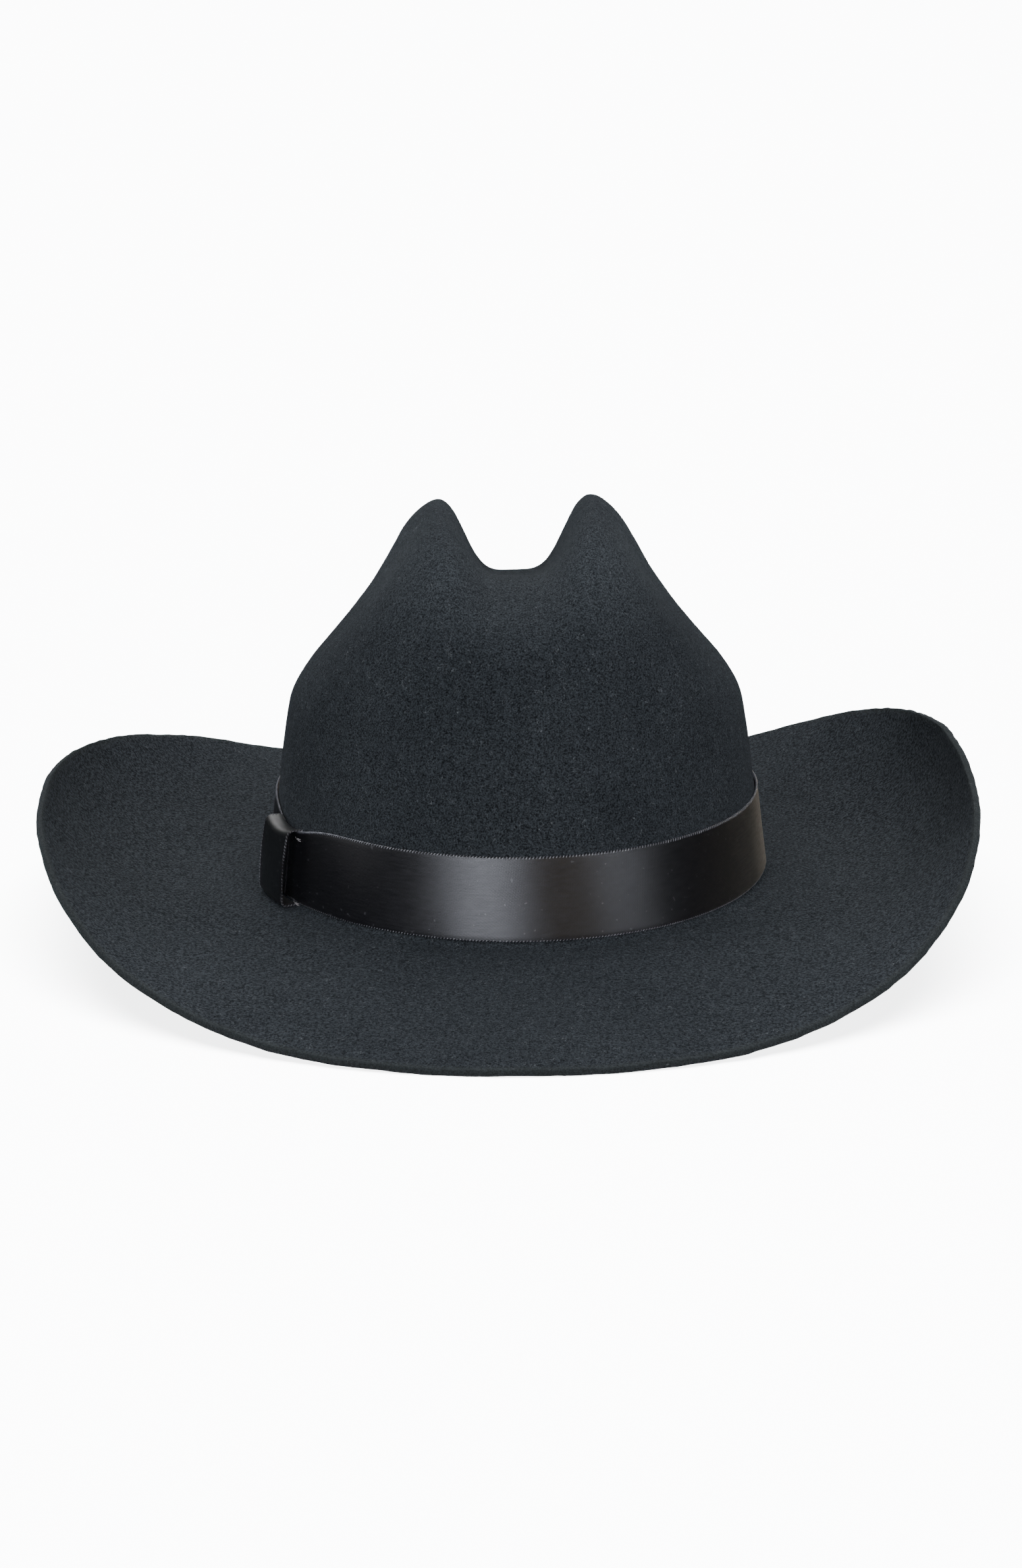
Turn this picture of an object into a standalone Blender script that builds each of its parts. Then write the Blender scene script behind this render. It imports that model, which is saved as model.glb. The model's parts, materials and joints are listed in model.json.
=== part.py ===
"""Cattleman-crease western hat in wool felt, with a satin ribbon band, sweatband and liner.

Metres, +Z up, +Y towards the front of the hat, +X towards the wearer's right. Every piece is
modelled around the middle of the head opening, at the height where crown and brim meet (the
break). The empty "brim_break" then lifts the hat so that it stands on the surface z = 0.

A place on the crown's wall is given as (angle, height, out): angle runs anticlockwise from +X,
height is above the break, and out is the distance outside the felt's outer surface.
"""

import math

import bmesh
import bpy
import numpy as np

MM = 0.001

# Felt body: a one-piece crown and brim
HALF_WIDTH = 87.4 * MM  # outer oval at the break, across the head
HALF_LENGTH = 104.2 * MM  # the same oval, front to back
FELT = 2.5 * MM
CROWN_HEIGHT = 138.5 * MM
CROWN_SQUARENESS = 4.0  # superellipse power: straight sides and a rounded top edge
SIDE_TAPER = 0.175  # share of the width lost by the top
END_TAPER = 0.187  # share of the length lost by the top

# Side dents: the crown is pinched from its shoulders up, and least at the back
PINCH = 0.303
PINCH_RIGHT = 0.042  # the wearer's right side is pinched this share more
PINCH_ALONG = (-87.6 * MM, -18.8 * MM)  # from none to all of it, back to front
PINCH_UP = (62.0 * MM, 121.5 * MM)
THUMB_DENT = 5.0 * MM  # the hollow pressed in each side, towards the front
THUMB_PLACE = (34.0 * MM, 92.0 * MM)  # forward of the middle, above the break
THUMB_REACH = (34.0 * MM, 20.0 * MM)

# Centre crease, and how the two ridges beside it run
CREASE_DEPTH_BACK = 18.9 * MM
CREASE_DEPTH_FRONT = 32.4 * MM
CREASE_DEEPENS = (-85.0 * MM, 17.0 * MM)  # from the back depth to the front depth
CREASE_HALF_WIDTH = 19.4 * MM
CREASE_STEEPNESS = 3.8
CREASE_UP = (0.64, 0.97)  # shares of the crown's height over which it is pressed in
RIDGE_FALL = 8.4 * MM  # the front of the crown is this much lower
RIDGE_FALL_ALONG = (-60.0 * MM, 90.0 * MM)
RIDGE_LEAN = 0.025  # the wearer's right ridge stands this slope higher

# Brim: a strip whose slope changes from the break to its edge
BRIM_WIDTH = 90.9 * MM
SIDE_SLOPES = (-4.6, 81.8)  # degrees, at the break and at the edge, at the sides
END_SLOPES = (-6.4, -12.0)  # the same at the front and the back
SLOPE_GROWTH = 1.71
CURL_POWER_BACK = 3.86  # how soon the side curl dies out towards the back
CURL_POWER_FRONT = 2.3
CURL_FRONT_GAIN = 0.175
CURL_RIGHT_GAIN = 0.137

# Satin ribbon: the band round the crown and the keeper loop over it
RIBBON_WIDTH = 28.0 * MM
RIBBON = 0.6 * MM
BAND_GAP = 0.4 * MM  # between felt and ribbon
BAND_BOTTOM = 1.8 * MM
BAND_DIP = 0.7 * MM  # how far the band sinks towards the keeper
BAND_GATHER = 0.175  # the share of its width that the band loses under the keeper
KEEPER_ANGLE = 203.2  # degrees, on the wearer's left, towards the back
KEEPER_REACH = math.radians(12.5)  # the turn over which the dip and the gather fade out
KEEPER_WIDTH = 24.0 * MM
KEEPER_STANDOFF = 6.6 * MM  # centre of its outer face, outside the felt
KEEPER_CORNER = 2.2 * MM
BAND_END_GAP = 1.0 * MM  # the band's ends meet under the keeper
TACK_RADIUS = 0.35 * MM
TACK_LENGTH = 2.2 * MM

# Sweatband, its reed and its tapes, all inside the crown
LEATHER = 1.0 * MM
LEATHER_OUT = -4.5 * MM  # its outer face
SWEATBAND_BOTTOM = 2.9 * MM
SWEATBAND_TOP = 40.0 * MM
BACK_ANGLE = -90.0
SWEATBAND_GAP = 1.0 * MM
REED_RADIUS = 0.8 * MM
REED_OUT = -5.0 * MM
REED_HEIGHT = 0.6 * MM
REED_GAP = 8.0 * MM
TAPE = 0.4 * MM
TAPE_ARC = 1.4 * MM  # the tape's centre line round the reed
TAPE_TOP = 9.0 * MM
JOINT_TAPE_WIDTH = 14.0 * MM
JOINT_TAPE = 0.35 * MM
JOINT_TAPE_OUT = -3.85 * MM
JOINT_TAPE_HEIGHTS = (10.0 * MM, 38.0 * MM)
THREAD_RADIUS = 0.22 * MM
THREAD_OUT = -6.0 * MM
SEAM_HEIGHT = 5.5 * MM
ZIGZAG_HEIGHTS = (8.0 * MM, 29.0 * MM)
ZIGZAG_TURNS = 12
ZIGZAG_WIDTH = 5.0 * MM
LABEL_ANGLE = -62.0
LABEL_WIDTH = 22.0 * MM
LABEL_HEIGHTS = (31.0 * MM, 47.0 * MM)
LABEL_OUT = -3.9 * MM
LABEL = 0.3 * MM

# Bow on the sweatband's joint
BOW_HEIGHT = 33.5 * MM
BOW_OUT = -7.9 * MM
BOW_RIBBON = 0.5 * MM
BOW_RIBBON_WIDTH = 5.0 * MM
BOW_LOOP = (9.0 * MM, 1.4 * MM)  # length and half opening of one loop
BOW_KNOT = (3.4 * MM, 2.2 * MM, 6.0 * MM)

# Satin liner
LINER = 0.4 * MM
LINER_OUT = -2.9 * MM
LINER_BOTTOM = 24.0 * MM
LINER_LEAN_FROM = 48.0 * MM  # above this it hangs further from the felt
LINER_LEAN = 0.22
LINER_TOP = 74.0 * MM
TIP_GAP = 0.5 * MM
TIP_DOME = 7.0 * MM
GUARD_SIZE = (28.0 * MM, 40.0 * MM)  # half width and half length of the clear patch
GUARD = 0.3 * MM

# Mesh fineness
AROUND = 60
BRIM_RINGS = 7
CROWN_RINGS = 20
FINE = 480  # steps of the numeric integrals

HAT = bpy.data.collections.new("cowboy_hat")
CUTTERS = bpy.data.collections.new("cutters")


def clear_scene():
    for obj in list(bpy.data.objects):
        bpy.data.objects.remove(obj)
    for collection in (HAT, CUTTERS):
        bpy.context.scene.collection.children.link(collection)


def material(name, color, roughness, sheen=0.0):
    made = bpy.data.materials.new(name)
    made.use_nodes = True
    shader = made.node_tree.nodes["Principled BSDF"]
    shader.inputs["Base Color"].default_value = (*color, 1.0)
    shader.inputs["Roughness"].default_value = roughness
    shader.inputs["Metallic"].default_value = 0.0
    shader.inputs["Sheen Weight"].default_value = sheen
    return made


def smooth(value, low, high):
    """0 below low, 1 above high, and a smooth rise between them."""
    t = np.clip((value - low) / (high - low), 0.0, 1.0)
    return t * t * (3.0 - 2.0 * t)


def oval_normal(angle):
    """The outward normal of the head oval."""
    x = HALF_LENGTH * np.cos(angle)
    y = HALF_WIDTH * np.sin(angle)
    size = np.hypot(x, y)
    return x / size, y / size


def crown_profile(rings):
    """Radius and height shares of the plain crown, at even steps from the break to the top."""
    turn = np.linspace(0.0, math.pi / 2, FINE)
    radius = np.cos(turn) ** (2 / CROWN_SQUARENESS)
    radius[-1] = 0.0
    height = np.sin(turn) ** (2 / CROWN_SQUARENESS)
    steps = np.hypot(np.diff(radius) * HALF_WIDTH, np.diff(height) * CROWN_HEIGHT)
    length = np.concatenate([[0.0], np.cumsum(steps)])
    even = np.linspace(0.0, length[-1], rings + 1)
    return np.interp(even, length, radius), np.interp(even, length, height)


def pinched(x, y, z):
    """The crown's x after the side dents."""
    pinch = PINCH * smooth(y, *PINCH_ALONG) * smooth(z, *PINCH_UP)
    x = x * (1.0 - pinch * np.where(x > 0.0, 1.0 + PINCH_RIGHT, 1.0))
    away = ((y - THUMB_PLACE[0]) / THUMB_REACH[0]) ** 2
    away = away + ((z - THUMB_PLACE[1]) / THUMB_REACH[1]) ** 2
    return x - np.sign(x) * np.minimum(THUMB_DENT * np.exp(-away), np.abs(x))


def ridge_fall(y, height):
    """How much lower the crown is here than if it were level from back to front."""
    return RIDGE_FALL * smooth(y, *RIDGE_FALL_ALONG) * height


def crown_point(angle, radius, height):
    """Outer felt surface: the plain crown, then the side dents, then the crease."""
    x = HALF_WIDTH * (1.0 - SIDE_TAPER * height) * radius * np.cos(angle)
    y = HALF_LENGTH * (1.0 - END_TAPER * height) * radius * np.sin(angle)
    z = CROWN_HEIGHT * height
    x = pinched(x, y, z)
    depth = CREASE_DEPTH_BACK + (CREASE_DEPTH_FRONT - CREASE_DEPTH_BACK) * smooth(y, *CREASE_DEEPENS)
    crease = depth * np.exp(-((np.abs(x) / CREASE_HALF_WIDTH) ** CREASE_STEEPNESS))
    pressed = (crease - RIDGE_LEAN * x) * smooth(height, *CREASE_UP)
    return x, y, z - pressed - ridge_fall(y, height)


def brim_strip(angle, rings):
    """The brim's upper surface along one direction, from the break out to the edge."""
    nx, ny = oval_normal(angle)
    power = CURL_POWER_BACK + (CURL_POWER_FRONT - CURL_POWER_BACK) * smooth(ny, -0.6, 0.6)
    side = abs(nx) ** power * (1.0 + CURL_FRONT_GAIN * ny) * (1.0 + CURL_RIGHT_GAIN * nx)
    first = END_SLOPES[0] + (SIDE_SLOPES[0] - END_SLOPES[0]) * side
    last = END_SLOPES[1] + (SIDE_SLOPES[1] - END_SLOPES[1]) * side
    middle = (np.arange(FINE) + 0.5) / FINE
    slope = np.radians(first + (last - first) * middle**SLOPE_GROWTH)
    step = BRIM_WIDTH / FINE
    out = np.concatenate([[0.0], np.cumsum(np.cos(slope)) * step])
    up = np.concatenate([[0.0], np.cumsum(np.sin(slope)) * step])
    at = np.linspace(0, FINE, rings + 1).astype(int)
    x = HALF_WIDTH * math.cos(angle) + nx * out[at]
    y = HALF_LENGTH * math.sin(angle) + ny * out[at]
    return x, y, up[at]


def wall_point(angle, height, out):
    """A point beside the crown's wall, below the crease: out is horizontal."""
    share = max(height, 0.0) / CROWN_HEIGHT
    level = height + ridge_fall(HALF_LENGTH * math.sin(angle), share)
    share = max(level, 0.0) / CROWN_HEIGHT
    radius = (1.0 - share**CROWN_SQUARENESS) ** (1 / CROWN_SQUARENESS)
    nx, ny = oval_normal(angle)
    x = HALF_WIDTH * (1.0 - SIDE_TAPER * share) * radius * math.cos(angle)
    y = HALF_LENGTH * (1.0 - END_TAPER * share) * radius * math.sin(angle)
    x = float(pinched(x, y, level))
    return x + nx * out, y + ny * out, height


def angles_between(start, end):
    """The felt's own directions between two angles, and the two ends, in radians."""
    step = 2 * math.pi / AROUND
    first = math.floor(start / step + 0.2) + 1
    last = math.ceil(end / step - 0.2) - 1
    return [start] + [k * step for k in range(first, last + 1)] + [end]


def angle_for(length, angle, out=0.0):
    """The turn that a length along the wall takes up, near this angle."""
    x = (HALF_WIDTH + out) * math.sin(angle)
    y = (HALF_LENGTH + out) * math.cos(angle)
    return length / math.hypot(x, y)


def new_object(name, mesh, look):
    obj = bpy.data.objects.new(name, mesh)
    obj.data.materials.append(look)
    HAT.objects.link(obj)
    return obj


def mesh_from(name, bm):
    bmesh.ops.recalc_face_normals(bm, faces=bm.faces)
    mesh = bpy.data.meshes.new(name)
    bm.to_mesh(mesh)
    bm.free()
    mesh.shade_smooth()
    mesh.set_sharp_from_angle(angle=math.radians(40))
    return mesh


def loft(bm, rows, closed):
    """Faces between neighbouring rows of vertices, each row a ring or an open line."""
    for row, following in zip(rows, rows[1:]):
        count = len(row)
        for i in range(count if closed else count - 1):
            j = (i + 1) % count
            bm.faces.new((row[i], row[j], following[j], following[i]))


def swept(name, section, angles, look, closed=False, level=None):
    """A closed outline of (out, height) points carried round the crown's wall. level(angle, height)
    may change the heights on the way."""
    bm = bmesh.new()
    rows = []
    for angle in angles:
        places = [(out, level(angle, height) if level else height) for out, height in section]
        rows.append([bm.verts.new(wall_point(angle, height, out)) for out, height in places])
    loft(bm, rows + rows[:1] if closed else rows, closed=True)
    if not closed:
        bm.faces.new(rows[0])
        bm.faces.new(rows[-1])
    return new_object(name, mesh_from(name, bm), look)


def strip_section(out, thickness, bottom, top):
    """Outline of an upright strip whose outer face is at out."""
    inner = out - thickness
    return [(out, bottom), (out, top), (inner, top), (inner, bottom)]


def thickened(path, thickness):
    """Outline of a strip of even thickness whose centre line is this path."""
    path = np.array(path)
    along = np.gradient(path, axis=0)
    along /= np.linalg.norm(along, axis=1)[:, None]
    across = np.stack([-along[:, 1], along[:, 0]], axis=1) * thickness / 2
    return [tuple(p) for p in np.concatenate([path + across, (path - across)[::-1]])]


def arc(centre, radius, start, end, steps):
    """Points on a circle in the (out, height) plane, angles in degrees."""
    turns = [math.radians(start + (end - start) * k / steps) for k in range(steps + 1)]
    return [(centre[0] + radius * math.cos(t), centre[1] + radius * math.sin(t)) for t in turns]


def thread(name, points, radius, look):
    """A thread through these points, as a tube with closed ends."""
    curve = bpy.data.curves.new(name, "CURVE")
    curve.dimensions = "3D"
    curve.bevel_depth = radius
    curve.bevel_resolution = 1
    curve.use_fill_caps = True
    spline = curve.splines.new("POLY")
    spline.points.add(len(points) - 1)
    for point, place in zip(spline.points, points):
        point.co = (*place, 1.0)
    return new_object(name, curve, look)


def felt_body(look):
    """Crown and brim: one sheet of felt, open below the crown."""
    bm = bmesh.new()
    turns = [2 * math.pi * k / AROUND for k in range(AROUND)]
    strips = [brim_strip(turn, BRIM_RINGS) for turn in turns]
    radii, heights = crown_profile(CROWN_RINGS)
    rows = []
    for ring in range(BRIM_RINGS, 0, -1):
        rows.append([bm.verts.new([axis[ring] for axis in strip]) for strip in strips])
    for radius, height in zip(radii[:-1], heights[:-1]):
        rows.append([bm.verts.new(crown_point(turn, radius, height)) for turn in turns])
    loft(bm, rows, closed=True)
    middle = bm.verts.new(crown_point(0.0, 0.0, 1.0))
    last = rows[-1]
    for i in range(AROUND):
        bm.faces.new((last[i], last[(i + 1) % AROUND], middle))
    body = new_object("felt_body", mesh_from("felt_body", bm), look)
    shell = body.modifiers.new("felt_thickness", "SOLIDIFY")
    shell.thickness = FELT
    shell.offset = -1.0
    shell.use_even_offset = True
    return body


def band_level(angle, height):
    """A height on the band, lower and gathered near the keeper."""
    from_keeper = abs(angle % (2 * math.pi) - math.radians(KEEPER_ANGLE))
    from_keeper = min(from_keeper, 2 * math.pi - from_keeper)
    near = math.exp(-((from_keeper / KEEPER_REACH) ** 2))
    above = (height - BAND_BOTTOM) * (1.0 - BAND_GATHER * near)
    return BAND_BOTTOM - BAND_DIP * near + above


def hatband(look):
    """The satin ribbon round the crown, its two ends meeting under the keeper."""
    middle = math.radians(KEEPER_ANGLE)
    gap = angle_for(BAND_END_GAP, middle) / 2
    turns = angles_between(middle + gap, middle + 2 * math.pi - gap)
    outer = BAND_GAP + RIBBON
    section = strip_section(outer, RIBBON, BAND_BOTTOM, BAND_BOTTOM + RIBBON_WIDTH)
    return swept("hatband", section, turns, look, level=band_level)


def keeper_section():
    """The keeper's loop: over the band's top edge, down its face and under its bottom edge."""
    reach = KEEPER_STANDOFF - KEEPER_CORNER
    top = BAND_BOTTOM + RIBBON_WIDTH + 0.9 * MM
    bottom = 0.65 * MM
    path = [(0.9 * MM, top - 0.2 * MM), (reach / 2, top)]
    path += arc((reach, top - KEEPER_CORNER), KEEPER_CORNER, 90, 0, 4)
    path.append((KEEPER_STANDOFF, (top + bottom) / 2))
    path += arc((reach, bottom + KEEPER_CORNER), KEEPER_CORNER, 0, -90, 4)
    path += [(reach / 2, bottom + 0.15 * MM), (1.3 * MM, bottom + 0.35 * MM)]
    return thickened(path, RIBBON * 0.8)


def keeper(look):
    middle = math.radians(KEEPER_ANGLE)
    half = angle_for(KEEPER_WIDTH / 2, middle)
    turns = angles_between(middle - half, middle + half)
    return swept("ribbon_keeper", keeper_section(), turns, look, level=band_level)


def keeper_tacks(look):
    """Short bars of thread that hold the ribbon: one inside the keeper's back mouth, one below it."""
    near = math.radians(KEEPER_ANGLE) + angle_for(KEEPER_WIDTH / 2, math.radians(KEEPER_ANGLE))
    on_band = BAND_GAP + RIBBON + TACK_RADIUS + 0.3 * MM
    places = {
        "keeper_tack_upper": (-2.5 * MM, 22.8 * MM, on_band),
        "keeper_tack_lower": (1.6 * MM, 1.5 * MM, on_band + 0.6 * MM),
    }
    for name, (beyond, height, out) in places.items():
        ends = [near + angle_for(beyond + TACK_LENGTH / 2 * k, near) for k in range(3)]
        thread(name, [wall_point(angle, height, out) for angle in ends], TACK_RADIUS, look)


def back_strip(name, section, width, look):
    """A strip centred on the back of the hat."""
    middle = math.radians(BACK_ANGLE)
    half = angle_for(width / 2, middle, section[0][0])
    return swept(name, section, angles_between(middle - half, middle + half), look)


def open_at_back(gap, out):
    """Directions of a ring that is open by this gap at the back."""
    middle = math.radians(BACK_ANGLE)
    half = angle_for(gap / 2, middle, out)
    return angles_between(middle + half, middle + 2 * math.pi - half)


def sweatband(looks):
    section = strip_section(LEATHER_OUT, LEATHER, SWEATBAND_BOTTOM, SWEATBAND_TOP)
    turns = open_at_back(SWEATBAND_GAP, LEATHER_OUT)
    swept("sweatband", section, turns, looks["leather"])

    reed_path = [
        wall_point(turn, REED_HEIGHT, REED_OUT) for turn in open_at_back(REED_GAP, REED_OUT)
    ]
    thread("sweatband_reed", reed_path, REED_RADIUS, looks["reed"])

    flange = REED_OUT + TAPE_ARC
    path = [(flange, TAPE_TOP), (flange, (TAPE_TOP + REED_HEIGHT) / 2)]
    path += arc((REED_OUT, REED_HEIGHT), TAPE_ARC, 0, -250, 6)
    swept("reed_tape", thickened(path, TAPE), turns, looks["tape"])

    seam = [wall_point(turn, SEAM_HEIGHT, THREAD_OUT) for turn in turns]
    thread("sweatband_seam_thread", seam, THREAD_RADIUS, looks["thread"])

    backing = strip_section(JOINT_TAPE_OUT, JOINT_TAPE, *JOINT_TAPE_HEIGHTS)
    back_strip("sweatband_joint_tape", backing, JOINT_TAPE_WIDTH, looks["tape"])

    middle = math.radians(BACK_ANGLE)
    half = angle_for(ZIGZAG_WIDTH / 2, middle, THREAD_OUT)
    low, high = ZIGZAG_HEIGHTS
    zigzag = []
    for k in range(ZIGZAG_TURNS + 1):
        height = low + (high - low) * k / ZIGZAG_TURNS
        zigzag.append(wall_point(middle + (half if k % 2 else -half), height, THREAD_OUT))
    thread("sweatband_joint_thread", zigzag, THREAD_RADIUS, looks["thread"])


def size_label(look):
    middle = math.radians(LABEL_ANGLE)
    half = angle_for(LABEL_WIDTH / 2, middle, LABEL_OUT)
    section = strip_section(LABEL_OUT, LABEL, *LABEL_HEIGHTS)
    return swept("size_label", section, angles_between(middle - half, middle + half), look)


def bow_loop(name, side):
    """One loop of the bow: a flat ribbon bent into a drop shape, as a ring of even thickness."""
    length, opening = BOW_LOOP
    bm = bmesh.new()
    count = 20
    rows = []
    for k in range(count):
        t = 2 * math.pi * k / count
        centre = np.array([side * length * (1 - math.cos(t)) / 2, opening * math.sin(t)])
        along = np.array([side * length * math.sin(t) / 2, opening * math.cos(t)])
        across = np.array([-along[1], along[0]]) / np.linalg.norm(along) * BOW_RIBBON / 2
        row = []
        for sign, up in ((1, 0.5), (1, -0.5), (-1, -0.5), (-1, 0.5)):
            x, y = centre + sign * across
            row.append(bm.verts.new((x, y, up * BOW_RIBBON_WIDTH)))
        rows.append(row)
    loft(bm, rows + rows[:1], closed=True)
    return mesh_from(name, bm)


def sweatband_bow(look):
    """The small ribbon bow over the sweatband's joint: two loops joined to a knot."""
    bm = bmesh.new()
    bmesh.ops.create_cube(bm, size=1.0)
    bmesh.ops.scale(bm, vec=BOW_KNOT, verts=bm.verts)
    bow = new_object("sweatband_bow", mesh_from("sweatband_bow", bm), look)
    place = wall_point(math.radians(BACK_ANGLE), BOW_HEIGHT, BOW_OUT)
    rounding = bow.modifiers.new("soft_corners", "BEVEL")
    rounding.width = 0.6 * MM
    rounding.segments = 2
    for side in (-1, 1):
        name = "bow_loop_left" if side < 0 else "bow_loop_right"
        loop = bpy.data.objects.new(name, bow_loop(name, side))
        CUTTERS.objects.link(loop)
        loop.location = place
        loop.hide_render = True
        loop.display_type = "WIRE"
        loop.parent = HAT_FRAME
        join = bow.modifiers.new(name, "BOOLEAN")
        join.operation = "UNION"
        join.object = loop
    bow.location = place
    return bow


def liner_out(height):
    """How far the liner's outer face hangs from the felt's outer surface."""
    return LINER_OUT - LINER_LEAN * max(height - LINER_LEAN_FROM, 0.0)


def liner_side(look):
    heights = np.linspace(LINER_BOTTOM, LINER_TOP, 5)
    section = [(liner_out(h), h) for h in heights]
    section += [(liner_out(h) - LINER, h) for h in heights[::-1]]
    turns = [2 * math.pi * k / AROUND for k in range(AROUND)]
    return swept("liner_side", section, turns, look, closed=True)


def dome(name, outline, base, rise, thickness, rings, look):
    """A thin shallow dome over an oval outline; its lower edge is at height base."""
    bm = bmesh.new()
    count = len(outline)
    faces = []
    for lift in (0.0, thickness):
        rows = []
        for ring in range(rings):
            share = 1.0 - ring / rings
            height = base + lift + rise * (1.0 - share**2)
            rows.append([bm.verts.new((x * share, y * share, height)) for x, y in outline])
        loft(bm, rows, closed=True)
        top = bm.verts.new((0.0, 0.0, base + lift + rise))
        for i in range(count):
            bm.faces.new((rows[-1][i], rows[-1][(i + 1) % count], top))
        faces.append(rows[0])
    loft(bm, faces, closed=True)
    return new_object(name, mesh_from(name, bm), look)


def liner_tip(looks):
    """The liner's top panel, and the clear sweat guard under it."""
    turns = [2 * math.pi * k / AROUND for k in range(0, AROUND, 2)]
    base = LINER_TOP + TIP_GAP
    outline = [wall_point(turn, base, liner_out(base) - TIP_GAP)[:2] for turn in turns]
    dome("liner_tip", outline, base, TIP_DOME, LINER, 4, looks["satin_liner"])

    share = GUARD_SIZE[1] / max(y for _, y in outline)
    guard_base = base + TIP_DOME * (1.0 - share**2) - GUARD - 0.9 * MM
    guard = [(GUARD_SIZE[0] * math.cos(t), GUARD_SIZE[1] * math.sin(t)) for t in turns]
    dome("liner_sweat_guard", guard, guard_base, TIP_DOME * share**2, GUARD, 3, looks["clear"])


def lifted_frame():
    """An empty at the break: the brim's two dips stand on z = 0, and the hat is centred."""
    turns = [2 * math.pi * k / AROUND for k in range(AROUND)]
    x, y, z = (np.array(axis) for axis in zip(*[brim_strip(turn, 1) for turn in turns]))
    drop = FELT * math.cos(math.radians(END_SLOPES[1]))
    frame = bpy.data.objects.new("brim_break", None)
    frame.empty_display_size = 0.05
    frame.location = (-(x.min() + x.max()) / 2, -(y.min() + y.max()) / 2, drop - z.min())
    HAT.objects.link(frame)
    return frame


clear_scene()
HAT_FRAME = lifted_frame()
LOOKS = {
    "leather": material("sweatband_leather", (0.045, 0.030, 0.022), 0.45),
    "reed": material("reed_plastic", (0.55, 0.55, 0.52), 0.40),
    "tape": material("woven_tape", (0.030, 0.030, 0.032), 0.75),
    "thread": material("thread", (0.10, 0.09, 0.08), 0.60),
    "satin_liner": material("liner_satin", (0.030, 0.031, 0.036), 0.32),
    "clear": material("clear_film", (0.75, 0.77, 0.78), 0.15),
}
SATIN = material("ribbon_satin", (0.012, 0.012, 0.014), 0.28)
felt_body(material("wool_felt", (0.017, 0.020, 0.023), 0.92, sheen=0.3))
hatband(SATIN)
keeper(SATIN)
keeper_tacks(material("tack_thread", (0.35, 0.34, 0.33), 0.60))
sweatband(LOOKS)
size_label(material("label_weave", (0.62, 0.60, 0.55), 0.70))
sweatband_bow(SATIN)
liner_side(LOOKS["satin_liner"])
liner_tip(LOOKS)
for piece in HAT.objects:
    if piece is not HAT_FRAME:
        piece.parent = HAT_FRAME
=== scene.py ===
"""Looks of the cattleman-crease western hat: felt, satin ribbon, sweatband and liner.

Metres, +Z up, +Y towards the front of the hat, +X towards the wearer's right. Shapes are worked
out around the middle of the head opening at the break, where crown and brim meet, and BREAK
moves them to their place. A place on the crown's wall is (angle, height, out): angle runs
anticlockwise from +X, height is above the break, out is outside the felt's outer surface.
"""

import json
import math

import bmesh
import bpy
import numpy as np
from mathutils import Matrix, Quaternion, Vector


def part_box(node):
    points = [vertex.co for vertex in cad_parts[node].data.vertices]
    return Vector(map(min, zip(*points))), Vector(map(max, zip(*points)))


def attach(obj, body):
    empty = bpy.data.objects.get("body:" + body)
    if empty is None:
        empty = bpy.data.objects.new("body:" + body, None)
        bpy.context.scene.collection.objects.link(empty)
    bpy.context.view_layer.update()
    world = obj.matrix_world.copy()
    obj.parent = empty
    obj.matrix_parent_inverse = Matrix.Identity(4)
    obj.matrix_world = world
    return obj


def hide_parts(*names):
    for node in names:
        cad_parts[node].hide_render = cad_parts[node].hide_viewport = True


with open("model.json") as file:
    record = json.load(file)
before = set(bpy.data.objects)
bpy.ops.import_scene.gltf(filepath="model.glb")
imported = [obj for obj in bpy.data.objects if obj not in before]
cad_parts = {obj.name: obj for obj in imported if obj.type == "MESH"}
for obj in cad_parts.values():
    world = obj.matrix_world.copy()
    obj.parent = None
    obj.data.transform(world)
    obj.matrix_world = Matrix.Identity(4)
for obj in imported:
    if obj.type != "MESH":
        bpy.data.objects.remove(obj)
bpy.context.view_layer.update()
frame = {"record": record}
BREAK = np.array(frame["record"]["mounts"][0]["pos_m"])

MM = 0.001
TURN = 2 * math.pi
UP = np.array([0.0, 0.0, 1.0])

# Felt body, the same formulas and sizes as the part
HALF_WIDTH = 87.4 * MM
HALF_LENGTH = 104.2 * MM
FELT = 2.5 * MM
CROWN_HEIGHT = 138.5 * MM
CROWN_SQUARENESS = 4.0
SIDE_TAPER = 0.175
END_TAPER = 0.187
PINCH = 0.303
PINCH_RIGHT = 0.042
PINCH_ALONG = (-87.6 * MM, -18.8 * MM)
PINCH_UP = (62.0 * MM, 121.5 * MM)
THUMB_DENT = 5.0 * MM
THUMB_PLACE = (34.0 * MM, 92.0 * MM)
THUMB_REACH = (34.0 * MM, 20.0 * MM)
CREASE_DEPTH_BACK = 18.9 * MM
CREASE_DEPTH_FRONT = 32.4 * MM
CREASE_DEEPENS = (-85.0 * MM, 17.0 * MM)
CREASE_HALF_WIDTH = 19.4 * MM
CREASE_STEEPNESS = 3.8
CREASE_UP = (0.64, 0.97)
RIDGE_FALL = 8.4 * MM
RIDGE_FALL_ALONG = (-60.0 * MM, 90.0 * MM)
RIDGE_LEAN = 0.025
BRIM_WIDTH = 90.9 * MM
SIDE_SLOPES = (-4.6, 81.8)
END_SLOPES = (-6.4, -12.0)
SLOPE_GROWTH = 1.71
CURL_POWER_BACK = 3.86
CURL_POWER_FRONT = 2.3
CURL_FRONT_GAIN = 0.175
CURL_RIGHT_GAIN = 0.137

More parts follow.
